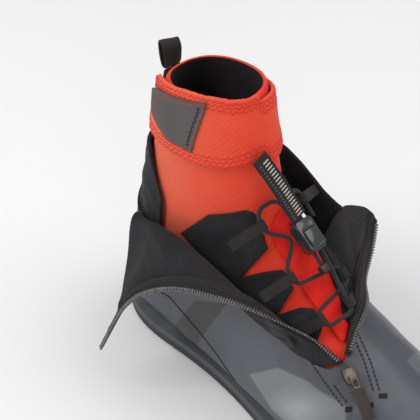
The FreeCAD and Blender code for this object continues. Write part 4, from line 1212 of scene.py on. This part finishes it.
# each column runs from the sewn root over the fold to the zip edge; the columns are in order from the toe end
lateral_columns = [
    [(154, -19.5, 84.6), (154, -22.5, 85.6), (153.5, -24.8, 86.9)],
    [root_at(145, -1), (144, -25, 91), (142, -28, 94)],
    [root_at(130, -1), (129, -33, 96), (126, -38, 104)],
    [root_at(105, -1), (103, -38, 108), (100, -48, 108)],
    [root_at(75, -1), (74, -40, 115), (72, -49, 114), (70, -57, 105)],
    [root_at(45, -1), (44, -39, 118), (43, -50, 113), (42, -65, 90)],
    [root_at(18, -1), (20, -39, 117), (24, -53, 104), (26, -72, 70)],
    [root_at(-10, -1), (-6, -37, 107), (6, -54, 84), (16, -72, 62), (14, -84, 30)]]
medial_columns = [
    [(152, -16.5, 86.6), (153.5, -15, 87.6), (154.5, -13, 87.8)],
    [root_at(146, 1), (147.5, -7, 94), (149, -3, 93)],
    [root_at(136, 1), (139, 8, 102), (142, 13, 97)],
    [root_at(121, 1), (126, 24, 105), (127, 27, 98)],
    [root_at(106, 1), (107, 32, 117), (115, 40, 114), (118, 44, 107)],
    [root_at(94, 1), (95, 37, 131), (105, 44, 133), (111, 48.5, 129), (113.5, 50.5, 122)]]
leaf("lateral", lateral_columns, (0, -0.6, 0.8), 56, 170, flap_lining)
medial_grid, medial_normals = leaf("medial", medial_columns, (0.5, 0.5, 0.6),
                                   40, 90, panel_look)

# collar cloth standing up beside the cuff on the inner side, between the ankle and the medial leaf
COLLAR_EDGE = np.array([(44, 30.5, 155), (50.4, 32, 154.4), (54.4, 33, 153.2), (61.5, 34.5, 148.9),
                        (72, 36, 142.1), (83.9, 37, 134.1), (92.9, 37, 131.2), (97, 37.5, 130.5)])


def collar_wing():
    rows, columns = 26, 60
    spots = np.linspace(0, len(COLLAR_EDGE) - 1, columns)
    top = np.array([eased(COLLAR_EDGE, s) for s in spots])
    grid = []
    for r in range(rows):
        t = r / (rows - 1)
        line = top + np.array([-3.0, -2.0, -30.0]) * t
        line[:, 1] += 1.2 * math.sin(math.pi * t)
        grid.append(line)
    grid = np.array(grid)
    normals = grid_normals(grid)
    points = rumpled(grid.reshape(-1, 3), normals.reshape(-1, 3), 0.6, 16.0, 9.4)
    obj = mesh_object("collar_inner_edge", points, grid_faces(rows, columns), softshell, arc_uv(grid))
    thicken(obj, 1.8, 0.4, 0.9)
    finish_piece(obj, "boot", "softshell")
    hem = [np.concatenate([grid[2, c] - np.array([0.0, 1.0, 0.0]), (0.2, -1.0, 0.3)])
           for c in range(2, columns - 2)]
    stitch_row("collar_inner_stitch", hem, thread_dark, "boot", "softshell", 1.9, 1.8, 0.28, (0.8, -0.8))


collar_wing()

# rows of stitches along the inner panel of the medial leaf
for name, share in (("medial_panel_stitch_1", 0.16), ("medial_panel_stitch_2", 0.40)):
    row = int(share * len(medial_grid))
    facing = medial_normals[row]
    path = [np.concatenate([medial_grid[row, c] + facing[c] * 1.0, facing[c]]) for c in range(4, 86)]
    seam = loose_row(name, path, thread_dark, "boot", "softshell", 2.4, 1.8, 0.26)
    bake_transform(seam)

# ---------------------------------------------------------------- closed zip below the slider
ZIP_RUN = unit(np.array([0.79, -0.27, -0.55]))
ZIP_SIDE = unit(np.cross([0.0, 0.0, 1.0], ZIP_RUN))
ZIP_OUT = np.cross(ZIP_RUN, ZIP_SIDE)
ZIP_SEAT = np.array([161.5, -22.5, 80.2])


def on_zip(x, y, z):
    return ZIP_SEAT + ZIP_RUN * x + ZIP_SIDE * y + ZIP_OUT * z


points, faces = [], []
for k, x in enumerate(np.arange(-4.2, 12.0, 0.75)):
    capsule(on_zip(x, 0.55 if k % 2 else -0.55, 0.9), ZIP_SIDE, ZIP_OUT, 2.6, 0.5, points, faces)
chain = mesh_object("closed_chain_teeth", points, faces, teeth_look)
finish_piece(chain, "boot", "zip_coil", "zip_closed_chain")


def shell_path(corners, lift=0.0):
    """Line over the shell through (x, y, z) corners."""
    path = []
    for p in resample(corners, 1.0):
        point, normal = shell_skin.nearest(p, (0.2, -0.3 if p[1] < 0 else 0.3, 1.0))
        path.append(np.concatenate([point + normal * lift, normal]))
    return path


for name, corners in (
        ("vamp_stitch_lateral", [(137, -26.5, 82), (154, -28.5, 74), (171, -30, 67)]),
        ("vamp_stitch_lateral_outer", [(136, -29.5, 81), (153, -31.5, 73), (170, -33, 65.5)]),
        ("vamp_stitch_medial", [(145, -3.5, 91), (161, -9, 82), (177, -17, 73)]),
        ("vamp_stitch_medial_outer", [(147, -0.5, 91), (163, -6, 82), (179, -14, 73)])):
    stitch_row(name, shell_path(corners), thread_dark, "boot", "shell_laminate", 2.6, 2.0, 0.48, lift=0.2)
for name, corners in (("bartack_medial", [(179, -16, 72.5), (183, -11.5, 72)]),
                      ("bartack_front", [(177, -25, 69), (181, -20, 70)]),
                      ("bartack_lateral", [(169, -33, 65.5), (173, -29.5, 67)])):
    stitch_row(name, shell_path(corners), thread_dark, "boot", "shell_laminate", 0.7, 3.2, 0.36, (1.45,), 0.3)
seam_line = [(3, -33, 43), (22, -34, 48), (44, -34, 40), (66, -35, 31), (84, -38, 20)]
tube("side_seam", [p[:3] for p in shell_path(seam_line, -0.15)], 0.55, softshell, "boot", "shell_laminate", 8)

# ---------------------------------------------------------------- camera, light and floor
TARGET, DISTANCE = Vector((0.075, 0.0, 0.110)), 0.8
turn, rise, roll = math.radians(42.0), math.radians(44.0), math.radians(3.0)
right = Vector((math.cos(turn), math.sin(turn), 0.0))
up = Vector((-math.sin(turn) * math.sin(rise), math.cos(turn) * math.sin(rise), math.cos(rise)))
back = right.cross(up)
camera_data = bpy.data.cameras.new("camera")
camera_data.lens, camera_data.sensor_width = 115.2, 36.0
camera_data.shift_x, camera_data.shift_y = -0.1417, 0.0798
camera = bpy.data.objects.new("camera", camera_data)
bpy.context.scene.collection.objects.link(camera)
rolled_right = right * math.cos(roll) + up * math.sin(roll)
rolled_up = up * math.cos(roll) - right * math.sin(roll)
camera.matrix_world = Matrix((
    (rolled_right.x, rolled_up.x, back.x, TARGET.x + back.x * DISTANCE),
    (rolled_right.y, rolled_up.y, back.y, TARGET.y + back.y * DISTANCE),
    (rolled_right.z, rolled_up.z, back.z, TARGET.z + back.z * DISTANCE),
    (0, 0, 0, 1)))
bpy.context.scene.camera = camera


def area_light(name, spot, aim, size, power):
    data = bpy.data.lights.new(name, "AREA")
    data.shape, data.size, data.energy = "DISK", size, power
    lamp = bpy.data.objects.new(name, data)
    bpy.context.scene.collection.objects.link(lamp)
    lamp.location = spot
    lamp.rotation_euler = (Vector(aim) - Vector(spot)).to_track_quat("-Z", "Y").to_euler()


area_light("key", (-0.35, -0.75, 1.15), (0.06, 0, 0.1), 0.7, 7.4)
area_light("top", (0.5, 0.45, 1.25), (0.08, 0, 0.1), 1.0, 5.6)
area_light("front", (1.0, -0.7, 0.6), (0.12, 0, 0.08), 0.6, 1.6)
world = bpy.data.worlds.new("studio")
world.use_nodes = True
world.node_tree.nodes["Background"].inputs[0].default_value = (1.0, 1.0, 1.0, 1)
world.node_tree.nodes["Background"].inputs[1].default_value = 0.55
bpy.context.scene.world = world
bpy.context.scene.view_settings.view_transform = "Standard"

floor_look = Look("floor", (0.90, 0.90, 0.90), 0.9).grain(400.0, 0.02, (0.86, 0.86, 0.86))
FAR, UNDER = 3000, -0.4
floor = mesh_object("floor", [(-FAR, -FAR, UNDER), (FAR, -FAR, UNDER), (FAR, FAR, UNDER), (-FAR, FAR, UNDER)],
                    [(0, 1, 2, 3)], floor_look.done(), smooth=False)
